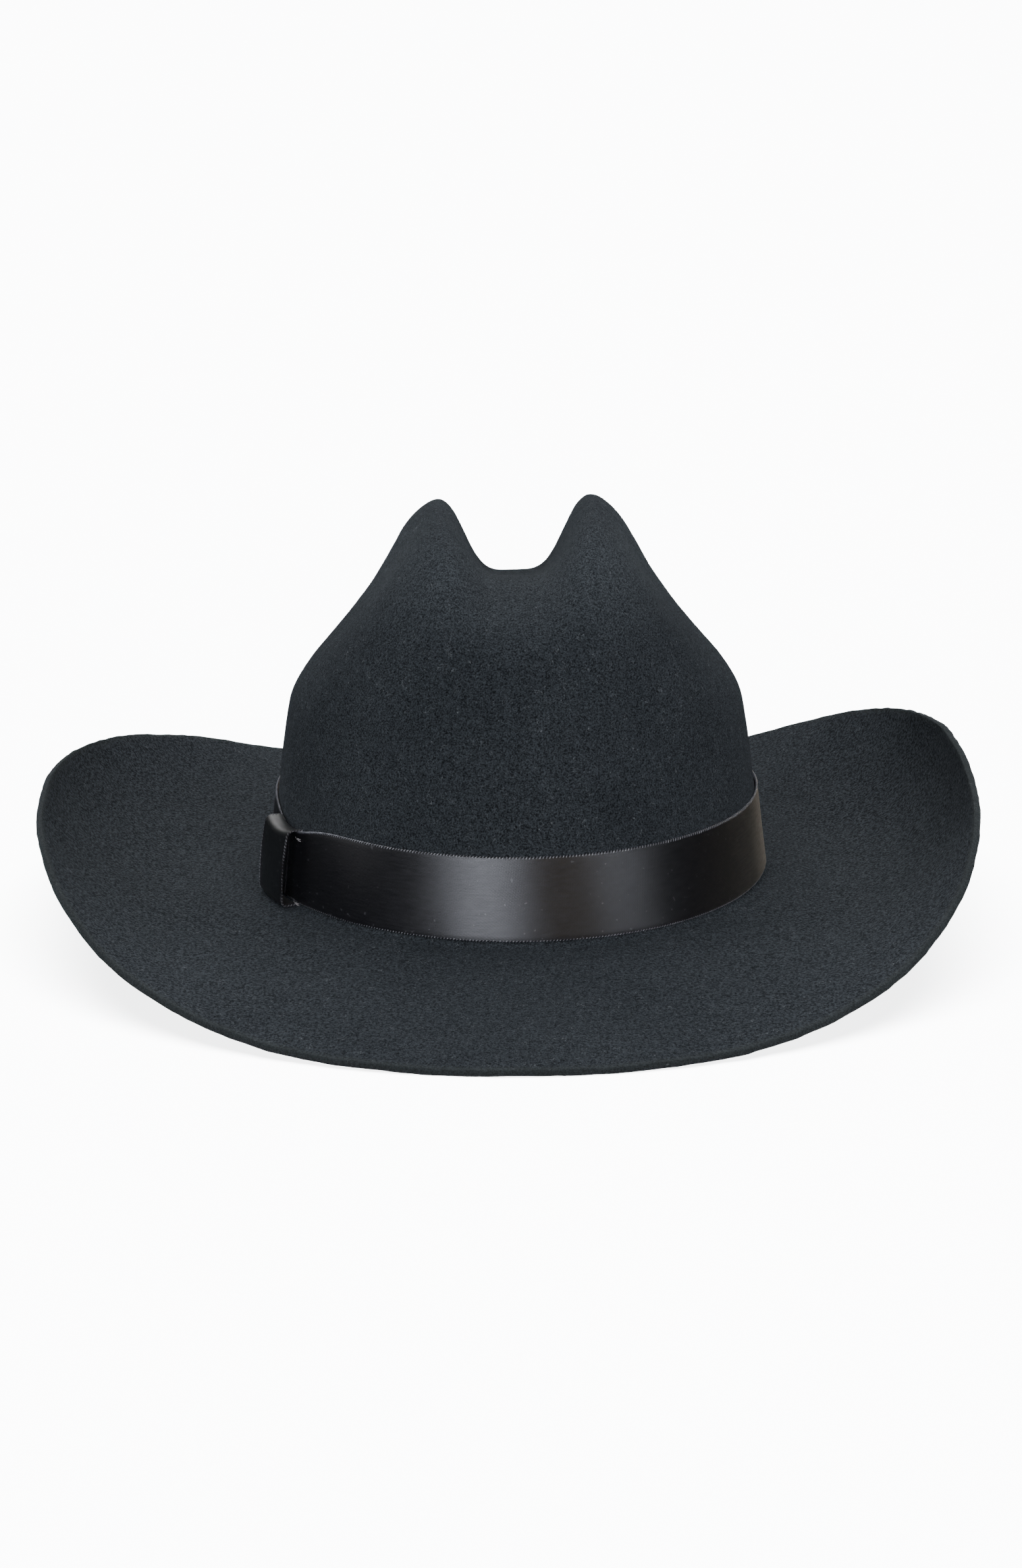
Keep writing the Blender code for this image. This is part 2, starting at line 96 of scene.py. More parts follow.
# Finer shape of the felt
BREAK_ROUND = 2.5 * MM  # how far each way the corner of brim and crown is rounded
EDGE_ROUND = 0.5 * MM  # how far the cut edge bulges
EDGE_SQUARENESS = 0.6  # 1 for a half round edge, less for a squarer one
EDGE_STEPS = 8
THICKNESS_WAVE = (9 * MM, 0.08)  # wavelength, and share by which the edge's thickness varies
BULGE_WAVE = (7 * MM, 0.35)
FELT_WAVES = ((48 * MM, 0.22 * MM), (13 * MM, 0.06 * MM), (5 * MM, 0.03 * MM))
AROUND = 400
BRIM_RINGS = 36
CROWN_RINGS = 84
FINE = 480
PAINTED_HIGHLIGHT_UP = (0.66, 0.84)  # shares of the crown's height where the painted highlight lightens the felt
PAINTED_HIGHLIGHT_END_UP = (0.87, 0.98)  # and where the painted highlight fades out again, towards the tops of the ridges
FINE_NAP_ROW = 74  # the row with the finest nap, counted from the brim's edge
COARSE_NAP_AWAY = (18, 52)  # rows away from it where the nap starts to coarsen, and is coarse
COARSE_NAP_BACK = 0.35  # how coarse it gets at the back and the front, against 1 at the sides

# Fibres that stand out of the felt
LINT_COUNT = 1500
LINT_LENGTH = (0.5 * MM, 1.7 * MM)
LINT_RADIUS = 0.012 * MM
LINT_TAPER = (1.0, 1.0, 1.0, 0.9, 0.5)  # its radius at even steps along it
LINT_CURL = 1.5  # usual turn from end to end, in radians
LINT_LIFT = (0.05, 0.42)  # how far it stands off, as a share of its length

# Satin ribbon
RIBBON_WIDTH = 28.0 * MM
RIBBON = 0.6 * MM
BAND_GAP = 0.4 * MM
BAND_BOTTOM = 1.8 * MM
BAND_DIP = 0.7 * MM
BAND_GATHER = 0.175
BAND_END_GAP = 1.0 * MM
BAND_WAVES = ((58 * MM, 0.16 * MM), (21 * MM, 0.035 * MM))
KEEPER_ANGLE = 203.2
KEEPER_REACH = math.radians(12.5)
KEEPER_WIDTH = 24.0 * MM
KEEPER_STANDOFF = 6.6 * MM
KEEPER_BULGE = 0.7 * MM
KEEPER_CORNER = 2.2 * MM
KEEPER_TOP = BAND_BOTTOM + RIBBON_WIDTH + 0.9 * MM
KEEPER_BOTTOM = 0.65 * MM
KEEPER_START = (0.9 * MM, -0.2 * MM)  # its hidden ends: out, and above its top or its bottom
KEEPER_END = (1.3 * MM, 0.35 * MM)
KEEPER_WAVES = ((24 * MM, 0.10 * MM),)
EDGE_PITCH = 1.12 * MM  # one turn of the thread whipped round a ribbon's edge
EDGE_THREAD = 0.20 * MM
TOP_EDGE_REACH = (0.22 * MM, 0.42 * MM)  # out and up from the middle of the edge
LOWER_EDGE_REACH = (0.20 * MM, 0.20 * MM)
EDGE_INSET = 0.25 * MM  # the whipped thread's middle line, in from the edge
TOP_EDGE_INSET = 0.35 * MM
TACK_THREAD = 0.17 * MM

# Sweatband and what is sewn to it
LEATHER = 1.0 * MM
LEATHER_WAVES = ((33 * MM, 0.10 * MM),)
LEATHER_OUT = -4.5 * MM
SWEATBAND_BOTTOM = 2.9 * MM
SWEATBAND_TOP = 40.0 * MM
BACK_ANGLE = -90.0
SWEATBAND_GAP = 1.0 * MM
REED_RADIUS = 0.8 * MM
REED_OUT = -5.0 * MM
REED_HEIGHT = 0.6 * MM
REED_GAP = 8.0 * MM
TAPE = 0.4 * MM
TAPE_ARC = 1.4 * MM
TAPE_TOP = 9.0 * MM
JOINT_TAPE_WIDTH = 14.0 * MM
JOINT_TAPE = 0.35 * MM
JOINT_TAPE_OUT = -3.85 * MM
JOINT_TAPE_HEIGHTS = (10.0 * MM, 38.0 * MM)
THREAD_RADIUS = 0.22 * MM
THREAD_OUT = -5.62 * MM
STITCH_SINK = 0.35 * MM
SEAM_HEIGHT = 5.5 * MM
STITCH_LENGTH = 2.7 * MM
STITCH_GAP = 0.5 * MM
ZIGZAG_HEIGHTS = (8.0 * MM, 29.0 * MM)
ZIGZAG_TURNS = 12
ZIGZAG_WIDTH = 5.0 * MM
LABEL_ANGLE = -62.0
LABEL_WIDTH = 22.0 * MM
LABEL_HEIGHTS = (31.0 * MM, 47.0 * MM)
LABEL_OUT = -3.9 * MM
LABEL = 0.3 * MM
LABEL_WAVES = ((12 * MM, 0.10 * MM),)
LABEL_LEAN = 0.9 * MM  # its top leans this far into the crown
BOW_HEIGHT = 33.5 * MM
BOW_OUT = -7.9 * MM
BOW_RIBBON = 0.4 * MM
BOW_RIBBON_WIDTH = 5.0 * MM
BOW_LOOP = (9.0 * MM, 1.4 * MM)
BOW_KNOT = (3.2 * MM, 2.1 * MM, 4.6 * MM)

# Liner
LINER = 0.4 * MM
LINER_OUT = -2.9 * MM
LINER_BOTTOM = 24.0 * MM
LINER_LEAN_FROM = 48.0 * MM
LINER_LEAN = 0.22
LINER_TOP = 74.0 * MM
LINER_PLEATS = 44
PLEAT_DEPTH = 0.9 * MM
PLEAT_WANDER = (70 * MM, 2.2)  # wavelength, and radians by which the pleats shift along
TIP_GAP = 0.5 * MM
TIP_DOME = 7.0 * MM
TIP_PUCKERS = 60
PUCKER_DEPTH = 0.22 * MM
GUARD_SIZE = (28.0 * MM, 40.0 * MM)
GUARD = 0.3 * MM
GUARD_DROP = 0.9 * MM  # under the panel, at the guard's edge
GUARD_HEM = 2.2 * MM

RANDOM = np.random.default_rng(1865)
SEED = {"felt": 11, "edge": 31, "bulge": 37, "band": 41, "keeper": 53, "leather": 61, "label": 67}
SEED |= {"whipping": 71, "pleats": 83}


# ---------------------------------------------------------------- shapes


def smooth(value, low, high):
    """0 below low, 1 above high, and a smooth rise between them."""
    t = np.clip((value - low) / (high - low), 0.0, 1.0)
    return t * t * (3.0 - 2.0 * t)


def xyz(x, y, z):
    """Points from their coordinates, each an array or one number."""
    return np.stack(np.broadcast_arrays(x, y, z), axis=-1)


def blend(start, end, share):
    return start + (end - start) * share


def full_turn(steps):
    """Even directions all the way round."""
    return np.linspace(0.0, TURN, steps, endpoint=False)


def circle(turns):
    """Points of a circle of radius 1, in these directions."""
    return np.stack([np.cos(turns), np.sin(turns)], axis=1)


def squarer(value, power):
    """Makes a round shape squarer: value is a sine or a cosine, and power is below 1."""
    return np.sign(value) * np.abs(value) ** power


def unit(vectors):
    return vectors / np.maximum(np.linalg.norm(vectors, axis=-1, keepdims=True), 1e-12)


def ripple(points, wavelength, seed):
    """A smooth irregular value around 0, from about -1 to 1, that varies over this length."""
    random = np.random.default_rng(seed)
    total = 0.0
    waves = 14
    for _ in range(waves):
        direction = unit(random.normal(size=3))
        pitch = wavelength * random.uniform(0.75, 1.5)
        phase = random.uniform(0.0, TURN)
        total = total + np.sin(points @ direction * (TURN / pitch) + phase)
    return total / math.sqrt(waves)


def waves_of(points, waves, seed):
    """The sum of several ripples, each a (wavelength, height)."""
    return sum(height * ripple(points, pitch, seed + i) for i, (pitch, height) in enumerate(waves))


def oval_normal(angle):
    x = HALF_LENGTH * np.cos(angle)
    y = HALF_WIDTH * np.sin(angle)
    size = np.hypot(x, y)
    return x / size, y / size


def crown_profile(rings):
    """Radius and height shares of the plain crown, at even steps from the break to the top."""
    turn = np.linspace(0.0, math.pi / 2, FINE)
    radius = np.cos(turn) ** (2 / CROWN_SQUARENESS)
    radius[-1] = 0.0
    height = np.sin(turn) ** (2 / CROWN_SQUARENESS)
    steps = np.hypot(np.diff(radius) * HALF_WIDTH, np.diff(height) * CROWN_HEIGHT)
    length = np.concatenate([[0.0], np.cumsum(steps)])
    even = np.linspace(0.0, length[-1], rings + 1)
    return np.interp(even, length, radius), np.interp(even, length, height)


def pinched(x, y, z):
    """The crown's x after the side dents."""
    pinch = PINCH * smooth(y, *PINCH_ALONG) * smooth(z, *PINCH_UP)
    x = x * (1.0 - pinch * np.where(x > 0.0, 1.0 + PINCH_RIGHT, 1.0))
    away = ((y - THUMB_PLACE[0]) / THUMB_REACH[0]) ** 2
    away = away + ((z - THUMB_PLACE[1]) / THUMB_REACH[1]) ** 2
    return x - np.sign(x) * np.minimum(THUMB_DENT * np.exp(-away), np.abs(x))


def ridge_fall(y, height):
    return RIDGE_FALL * smooth(y, *RIDGE_FALL_ALONG) * height


def crown_surface(angle, radius, height):
    """Outer felt surface: the plain crown, then the side dents, then the crease."""
    x = HALF_WIDTH * (1.0 - SIDE_TAPER * height) * radius * np.cos(angle)
    y = HALF_LENGTH * (1.0 - END_TAPER * height) * radius * np.sin(angle)
    z = CROWN_HEIGHT * height
    x = pinched(x, y, z)
    depth = blend(CREASE_DEPTH_BACK, CREASE_DEPTH_FRONT, smooth(y, *CREASE_DEEPENS))
    crease = depth * np.exp(-((np.abs(x) / CREASE_HALF_WIDTH) ** CREASE_STEEPNESS))
    pressed = (crease - RIDGE_LEAN * x) * smooth(height, *CREASE_UP)
    z = z - pressed - ridge_fall(y, height)
    return xyz(x, y, z)


def brim_surface(angles, shares):
    """Upper surface of the brim, a row of points for each share of the way out to the edge."""
    nx, ny = oval_normal(angles)
    power = blend(CURL_POWER_BACK, CURL_POWER_FRONT, smooth(ny, -0.6, 0.6))
    side = np.abs(nx) ** power * (1.0 + CURL_FRONT_GAIN * ny) * (1.0 + CURL_RIGHT_GAIN * nx)
    first = blend(END_SLOPES[0], SIDE_SLOPES[0], side)
    last = blend(END_SLOPES[1], SIDE_SLOPES[1], side)
    middle = (np.arange(FINE)[:, None] + 0.5) / FINE
    slope = np.radians(blend(first, last, middle**SLOPE_GROWTH))
    start = np.zeros((1, len(angles)))
    out = np.concatenate([start, np.cumsum(np.cos(slope), axis=0)]) * BRIM_WIDTH / FINE
    up = np.concatenate([start, np.cumsum(np.sin(slope), axis=0)]) * BRIM_WIDTH / FINE
    at = np.round(np.asarray(shares) * FINE).astype(int)
    x = HALF_WIDTH * np.cos(angles) + nx * out[at]
    y = HALF_LENGTH * np.sin(angles) + ny * out[at]
    return xyz(x, y, up[at])


def wall(angle, height, out):
    """Places beside the crown's wall, below the crease: out is horizontal."""
    share = np.maximum(height, 0.0) / CROWN_HEIGHT
    level = height + ridge_fall(HALF_LENGTH * np.sin(angle), share)
    share = np.maximum(level, 0.0) / CROWN_HEIGHT
    radius = (1.0 - share**CROWN_SQUARENESS) ** (1 / CROWN_SQUARENESS)
    nx, ny = oval_normal(angle)
    x = HALF_WIDTH * (1.0 - SIDE_TAPER * share) * radius * np.cos(angle)
    y = HALF_LENGTH * (1.0 - END_TAPER * share) * radius * np.sin(angle)
    x = pinched(x, y, level)
    return xyz(x + nx * out, y + ny * out, height)


def lengths(points, closed=False):
    """Distance along a line of points from its start, and back to there if the line is closed."""
    if closed:
        points = np.concatenate([points, points[:1]])
    steps = np.linalg.norm(np.diff(points, axis=0), axis=1)
    return np.concatenate([[0.0], np.cumsum(steps)])


def turn_for(length, angle, out=0.0):
    """The turn that a length along the wall takes up, near this angle."""
    x = (HALF_WIDTH + out) * math.sin(angle)
    y = (HALF_LENGTH + out) * math.cos(angle)
    return length / math.hypot(x, y)


def open_ring(middle_deg, gap, out, steps):
    """Directions all the way round, open by this gap at one angle."""
    middle = math.radians(middle_deg)
    half = turn_for(gap / 2, middle, out)
    return np.linspace(middle + half, middle + TURN - half, steps)


def stretch(middle_deg, width, out, steps):
    """Directions of a strip of this width, centred on one angle."""
    middle = math.radians(middle_deg)
    half = turn_for(width / 2, middle, out)
    return np.linspace(middle - half, middle + half, steps)


def strip_outline(out, thickness, bottom, top, steps):
    """Outline of an upright strip with round edges: outer face, top, inner face, bottom."""
    r = thickness / 2
    face = np.linspace(bottom + r, top - r, steps)
    turn = np.linspace(0.0, math.pi, 6)[1:-1]
    outs = [np.full(steps, out), out - r + r * np.cos(turn)]
    outs += [np.full(steps, out - thickness), out - r - r * np.cos(turn)]
    heights = [face, top - r + r * np.sin(turn), face[::-1], bottom + r - r * np.sin(turn)]
    return np.concatenate(outs), np.concatenate(heights)


def thickened(path, thickness):
    """Outline of a strip of even thickness whose centre line is this (out, height) path."""
    along = unit(np.gradient(path, axis=0))
    across = np.stack([-along[:, 1], along[:, 0]], axis=1) * thickness / 2
    outline = np.concatenate([path + across, (path - across)[::-1]])
    return outline[:, 0], outline[:, 1]


def arc(centre, radius, start, end, steps):
    """Points on a circle in the (out, height) plane, angles in degrees."""
    turns = np.radians(np.linspace(start, end, steps + 1))
    return np.array(centre) + radius * circle(turns)


def interpolated(at, length, values):
    """Rows of values at some lengths along a line, from those at its points' lengths."""
    return np.stack([np.interp(at, length, column) for column in values.T], axis=1)


def evenly(path, step):
    """The same line with its points an even step apart."""
    length = lengths(path)
    even = np.linspace(0.0, length[-1], max(2, int(round(length[-1] / step)) + 1))
    return interpolated(even, length, path)


class Shape:
    """Points and faces of one piece, gathered part by part, with each face corner's place
    (u, v) on the flat material in metres."""

    def __init__(self):
        self.points = []
        self.faces = []
        self.places = []
        self.count = 0
        self.marks = {}

    def add(self, points):
        """Adds points and returns the number of each."""
        flat = points.reshape(-1, 3)
        self.points.append(flat)
        numbers = np.arange(self.count, self.count + len(flat)).reshape(points.shape[:-1])
        self.count += len(flat)
        return numbers

    def grid(self, points, u, v, wrap_rows=False, wrap_columns=False, turned=False):
        """Quads between rows and columns of points. u runs along a row and v down a column."""
        numbers = self.add(points)
        rows, columns = numbers.shape
        r = np.arange(rows if wrap_rows else rows - 1)
        c = np.arange(columns if wrap_columns else columns - 1)
        r, c = (axis.ravel() for axis in np.meshgrid(r, c, indexing="ij"))
        corners = ((r, c), (r, c + 1), (r + 1, c + 1), (r + 1, c))
        quads = [numbers[i % rows, j % columns] for i, j in corners]
        self.faces += np.stack(quads, axis=1).tolist()
        places = np.stack([np.stack([u[j], v[i]], axis=1) for i, j in corners], axis=1)
        if turned:
            places = places[..., ::-1]
        self.places.append(places.reshape(-1, 2))
        return numbers

    def cap(self, *rings):
        """One face over each ring of points."""
        for ring in rings:
            self.faces.append([int(n) for n in ring])
            self.places.append(np.zeros((len(ring), 2)))

    def fan(self, ring, tip):
        """Triangles from a ring of points to a tip."""
        end = int(self.add(np.array([tip]))[0])
        for n, following in zip(ring, np.roll(ring, -1)):
            self.faces.append([int(n), int(following), end])
        self.places.append(np.zeros((3 * len(ring), 2)))

    def tube(self, line, radius, sides=6):
        """A round tube along a line, with closed ends. radius is one number or one a point."""
        along = unit(np.gradient(line, axis=0))
        side = np.empty_like(line)
        guide = np.array([0.3, 0.2, 1.0])
        for i, direction in enumerate(along):
            guide = guide - direction * (guide @ direction)
            guide = guide / np.linalg.norm(guide)
            side[i] = guide
        other = np.cross(along, side)
        turn = full_turn(sides)
        radius = np.broadcast_to(radius, (len(line),))[:, None, None]
        ring = side[:, None] * np.cos(turn)[:, None] + other[:, None] * np.sin(turn)[:, None]
        u = np.linspace(0.0, TURN * float(radius.max()), sides + 1)
        points = line[:, None] + ring * radius
        numbers = self.grid(points, u, lengths(line), wrap_columns=True, turned=True)
        self.cap(numbers[0], numbers[-1])

    def mark(self, name, numbers, value):
        """Gives some points a named value, which a material can read."""
        self.marks.setdefault(name, []).append((numbers.ravel(), value))

    def piece(self, name, slot, *nodes, look=None, sharp=55.0):
        """Makes the piece, moved to the hat's place and hung from the root, and hides the CAD
        parts of the nodes it stands for. Its look is the one named by slot, unless another is
        named."""
        mesh = bpy.data.meshes.new(name)
        points = np.concatenate(self.points) + BREAK
        mesh.from_pydata(points.tolist(), [], self.faces)
        flat = mesh.uv_layers.new(name="flat")
        flat.data.foreach_set("uv", np.concatenate(self.places).astype(np.float32).ravel())
        for mark, groups in self.marks.items():
            values = np.zeros(len(points), np.float32)
            for numbers, value in groups:
                values[numbers] = value
            mesh.attributes.new(mark, "FLOAT", "POINT").data.foreach_set("value", values)
        bm = bmesh.new()
        bm.from_mesh(mesh)
        bmesh.ops.recalc_face_normals(bm, faces=bm.faces)
        bm.to_mesh(mesh)
        bm.free()
        mesh.shade_smooth()
        mesh.set_sharp_from_angle(angle=math.radians(sharp))
        mesh.materials.append(LOOKS[look or slot].material)
        obj = bpy.data.objects.new(name, mesh)
        bpy.context.scene.collection.objects.link(obj)
        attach(obj, "root")
        if nodes:
            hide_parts(*nodes)
        return obj


# ---------------------------------------------------------------- materials


class Look:
    """A material, with short calls for the nodes that give it its detail."""

    def __init__(self, name, values):
        self.name = name
        self.material = bpy.data.materials.new(name)
        self.material.use_nodes = True
        self.nodes = self.material.node_tree.nodes
        self.links = self.material.node_tree.links
        self.shader = self.nodes["Principled BSDF"]
        self.set(values)
        self.coordinates = self.nodes.new("ShaderNodeTexCoord")

    def put(self, socket, value):
        if isinstance(value, bpy.types.NodeSocket):
            self.links.new(value, socket)
        else:
            socket.default_value = value

    def set(self, values):
        for socket, value in values.items():
            self.put(self.shader.inputs[socket], value)

    def node(self, kind, inputs=(), **settings):
        made = self.nodes.new("ShaderNode" + kind)
        for key, value in settings.items():
            setattr(made, key, value)
        for key, value in dict(inputs).items():
            self.put(made.inputs[key], value)
        return made

    def place(self, flat=False, stretched=(1.0, 1.0, 1.0), slant=0.0):
        """Coordinates in metres, in space or on the flat material, turned by slant degrees."""
        source = self.coordinates.outputs["UV" if flat else "Object"]
        turned = {"Vector": source, "Rotation": (0.0, 0.0, math.radians(slant))}
        turned = self.node("Mapping", turned).outputs["Vector"]
        return self.node("Mapping", {"Vector": turned, "Scale": stretched}).outputs["Vector"]

    def noise(self, size, detail=2.0, where=None, **more):
        """Cloudy noise whose features have about this size, from 0 to 1."""
        inputs = {"Vector": where or self.place(), "Scale": 1.0 / size, "Detail": detail, **more}
        return self.node("TexNoise", inputs).outputs["Fac"]

    def math(self, operation, first, second=0.0):
        made = self.node("Math", operation=operation)
        self.put(made.inputs[0], first)
        self.put(made.inputs[1], second)
        return made.outputs["Value"]

    def times(self, value, share):
        return self.math("MULTIPLY", value, share)

    def total(self, first, *terms):
        """The first value plus each other value times its share."""
        for value, share in terms:
            first = self.math("ADD", first, self.times(value, share))
        return first

    def levels(self, value, low, high, start=0.0, end=1.0):
        """Takes low to start and high to end, smoothly."""
        inputs = {"Value": value, "From Min": low, "From Max": high}
        inputs |= {"To Min": start, "To Max": end}
        return self.node("MapRange", inputs, interpolation_type="SMOOTHSTEP").outputs["Result"]

    def stripes(self, pitch, slant=0.0, across=False):
        """Even waves over the flat material, from -1 to 1."""
        parts = self.node("SeparateXYZ", {"Vector": self.place(flat=True, slant=slant)})
        line = parts.outputs["X" if across else "Y"]
        return self.math("SINE", self.times(line, TURN / pitch))

    def mix(self, share, first, second):
        made = self.node("Mix", data_type="RGBA")
        self.put(made.inputs["Factor"], share)
        self.put(made.inputs["A"], (*first, 1.0) if isinstance(first, tuple) else first)
        self.put(made.inputs["B"], (*second, 1.0) if isinstance(second, tuple) else second)
        return made.outputs["Result"]

    def bump(self, height, depth, under=None):
        inputs = {"Height": height, "Distance": depth, "Strength": 1.0}
        if under is not None:
            inputs["Normal"] = under
        return self.node("Bump", inputs).outputs["Normal"]

    def marked(self, name):
        return self.node("Attribute", attribute_name=name).outputs["Fac"]


def hairs(look, size, width):
    """Thin curly lines, broken into short lengths: 1 on a line, 0 beside it."""
    field = look.noise(size, 1.0, Distortion=1.4)
    near = look.math("ABSOLUTE", look.math("SUBTRACT", field, 0.5))
    line = look.levels(near, 0.0, width, 1.0, 0.0)
    broken = look.levels(look.noise(size * 1.3, 1.0), 0.56, 0.62)
    return look.times(line, broken)


def felt_look():
    """Black wool felt with a cool cast: matted grain, pale hairs, a lighter nap where it is cut,
    and a painted highlight, a lighter band round the upper crown for the light that the
    crease's lip catches from above."""
    values = {"Roughness": 0.95, "Specular IOR Level": 0.03}
    values |= {"Sheen Weight": 0.020, "Sheen Roughness": 0.3, "Sheen Tint": (0.80, 0.90, 1.0, 1.0)}
    look = Look("wool_felt", values)
    cloud = look.noise(42 * MM, 3.0)
    mottle = look.noise(3.0 * MM, 3.0, Roughness=0.6)
    clumps = look.noise(0.75 * MM, 2.0, Roughness=0.6)
    grain = look.noise(0.5 * MM, 2.0, Roughness=0.7)
    shade = look.total(
        look.times(look.levels(mottle, 0.3, 0.7), 0.10),
        (look.levels(clumps, 0.40, 0.60), 0.26),
        (look.levels(grain, 0.38, 0.62), 0.64),
    )
    faded = look.levels(cloud, 0.35, 0.65)
    dark = look.mix(faded, (0.0038, 0.0044, 0.0051), (0.0046, 0.0053, 0.0061))
    light = look.mix(faded, (0.0345, 0.0395, 0.0450), (0.0410, 0.0465, 0.0525))
    colour = look.mix(shade, dark, light)
    tufts = look.levels(look.noise(0.95 * MM, 2.0, Roughness=0.75), 0.40, 0.60)
    coarse = look.mix(tufts, (0.0016, 0.0020, 0.0024), (0.0500, 0.0570, 0.0645))
    colour = look.mix(look.times(look.marked("coarse_nap"), 0.62), colour, coarse)
    short = hairs(look, 0.9 * MM, 0.035)
    colour = look.mix(look.times(short, 0.30), colour, (0.085, 0.096, 0.108))
    long = hairs(look, 2.6 * MM, 0.012)
    colour = look.mix(look.times(long, 0.5), colour, (0.15, 0.16, 0.17))
    # Painted highlight: a lighter, grainy band round the upper crown, standing in for the light
    # that the crease's lip catches from above.
    pale = look.mix(shade, (0.018, 0.021, 0.024), (0.094, 0.104, 0.113))
    colour = look.mix(look.times(look.marked("painted_highlight"), 0.24), colour, pale)
    colour = look.mix(look.times(look.marked("cut_edge"), 0.45), colour, (0.034, 0.038, 0.037))
    matted = look.total(look.math("ADD", look.times(mottle, 0.6), grain), (short, 0.35))
    look.set({"Base Color": colour, "Normal": look.bump(matted, 0.21 * MM)})
    return look


def fibre_look():
    """Single wool and dust fibres."""
    look = Look("felt_fibre", {"Roughness": 0.8, "Specular IOR Level": 0.2})
    tone = look.levels(look.noise(9 * MM, 0.0), 0.42, 0.60)
    look.set({"Base Color": look.mix(tone, (0.030, 0.034, 0.040), (0.17, 0.18, 0.19))})
    return look


def satin(look, slant, cross, depth):
    """Fine slanted ribs over a finer cross grain, and threads that stretch the highlights."""
    ribs = look.stripes(0.46 * MM, slant)
    grain = look.stripes(0.37 * MM, cross, across=True)
    slubs = look.noise(1.0, 2.0, look.place(flat=True, stretched=(150.0, 1500.0, 1.0)))
    weave = look.total(ribs, (grain, 0.5), (slubs, 1.2))
    tangent = look.node("Tangent", direction_type="UV_MAP", uv_map="flat").outputs["Tangent"]
    look.set({"Normal": look.bump(weave, depth), "Tangent": tangent})
    return weave, slubs


def ribbon_look():
    """Black satin, with specks of dust on its face and a matt inner side."""
    values = {"Specular IOR Level": 0.3, "Anisotropic": 0.35, "IOR": 1.5}
    look = Look("ribbon_satin", values)
    weave, slubs = satin(look, -22.0, 4.0, 0.011 * MM)
    dark, light = (0.0013, 0.0013, 0.0016), (0.0044, 0.0044, 0.0052)
    threads = look.mix(look.levels(weave, -0.6, 2.2), dark, light)
    dust = look.levels(look.noise(1.3 * MM, 0.0), 0.80, 0.83, 0.0, 0.16)
    look.set({"Base Color": look.mix(dust, threads, (0.13, 0.13, 0.135))})
    matt = look.times(look.marked("inside"), 0.9)
    look.set({"Roughness": look.math("MAXIMUM", look.levels(slubs, 0.3, 0.7, 0.29, 0.35), matt)})
    return look


def edge_thread_look():
    """The glossy thread whipped round the ribbon's edges."""
    look = Look("ribbon_edge_thread", {"Specular IOR Level": 0.9, "Roughness": 0.30})
    ply = look.stripes(0.20 * MM, 35.0)
    tone = look.levels(ply, -1.0, 1.0)
    # The thread's grey, far lighter than the black satin of the ribbon, is painted sheen: it
    # stands in for the glints that the thread's rounded turns catch.
    look.set({"Base Color": look.mix(tone, (0.030, 0.030, 0.033), (0.095, 0.097, 0.105))})
    look.set({"Normal": look.bump(ply, 0.01 * MM)})
    return look


def thread_look(name, dark, light):
    """Plied sewing thread."""
    look = Look(name, {"Roughness": 0.62, "Sheen Weight": 0.2})
    ply = look.stripes(0.34 * MM, 38.0)
    fuzz = look.noise(0.25 * MM, 2.0)
    tone = look.total(look.levels(ply, -1.0, 1.0, 0.0, 0.7), (fuzz, 0.3))
    look.set({"Base Color": look.mix(tone, dark, light), "Normal": look.bump(tone, 0.03 * MM)})
    return look


def leather_look():
    """Dark brown roan: pebbled grain, darker pores, and a polish where it rubs."""
    look = Look("sweatband_leather", {"Specular IOR Level": 0.45})
    pebbles = look.node("TexVoronoi", {"Vector": look.place(), "Scale": 1 / (0.85 * MM)})
    pebble = look.levels(pebbles.outputs["Distance"], 0.05, 0.62, 1.0, 0.0)
    folds = look.noise(3.2 * MM, 3.0, look.place(stretched=(1.0, 1.0, 0.6)))
    tone = look.total(look.times(pebble, 0.55), (folds, 0.5))
    worn = look.levels(look.noise(26 * MM, 2.0), 0.4, 0.65)
    brown = look.mix(tone, (0.010, 0.0065, 0.0048), (0.042, 0.026, 0.018))
    look.set({"Base Color": look.mix(look.times(worn, 0.4), brown, (0.058, 0.038, 0.027))})
    look.set({"Roughness": look.levels(worn, 0.0, 1.0, 0.55, 0.40)})
    look.set({"Normal": look.bump(tone, 0.10 * MM)})
    return look


def woven_look(name, dark, light, pitch, roughness=0.8):
    """Plain weave: warp and weft threads pass over each other in turn."""
    look = Look(name, {"Roughness": roughness, "Sheen Weight": 0.15})
    over = look.times(look.stripes(pitch, across=True), look.stripes(pitch))
    uneven = look.noise(pitch * 2.5, 2.0)
    tone = look.total(look.levels(over, -1.0, 1.0, 0.0, 0.75), (uneven, 0.25))
    look.set({"Base Color": look.mix(tone, dark, light), "Normal": look.bump(tone, pitch * 0.16)})
    return look


def reed_look():
    """Extruded plastic reed, with fine lines along it."""
    look = Look("reed_plastic", {"Roughness": 0.36})
    lines = look.noise(1.0, 2.0, look.place(flat=True, stretched=(60.0, 9000.0, 1.0)))
    look.set({"Base Color": look.mix(lines, (0.42, 0.41, 0.37), (0.58, 0.57, 0.52))})
    look.set({"Normal": look.bump(lines, 0.02 * MM)})
    return look


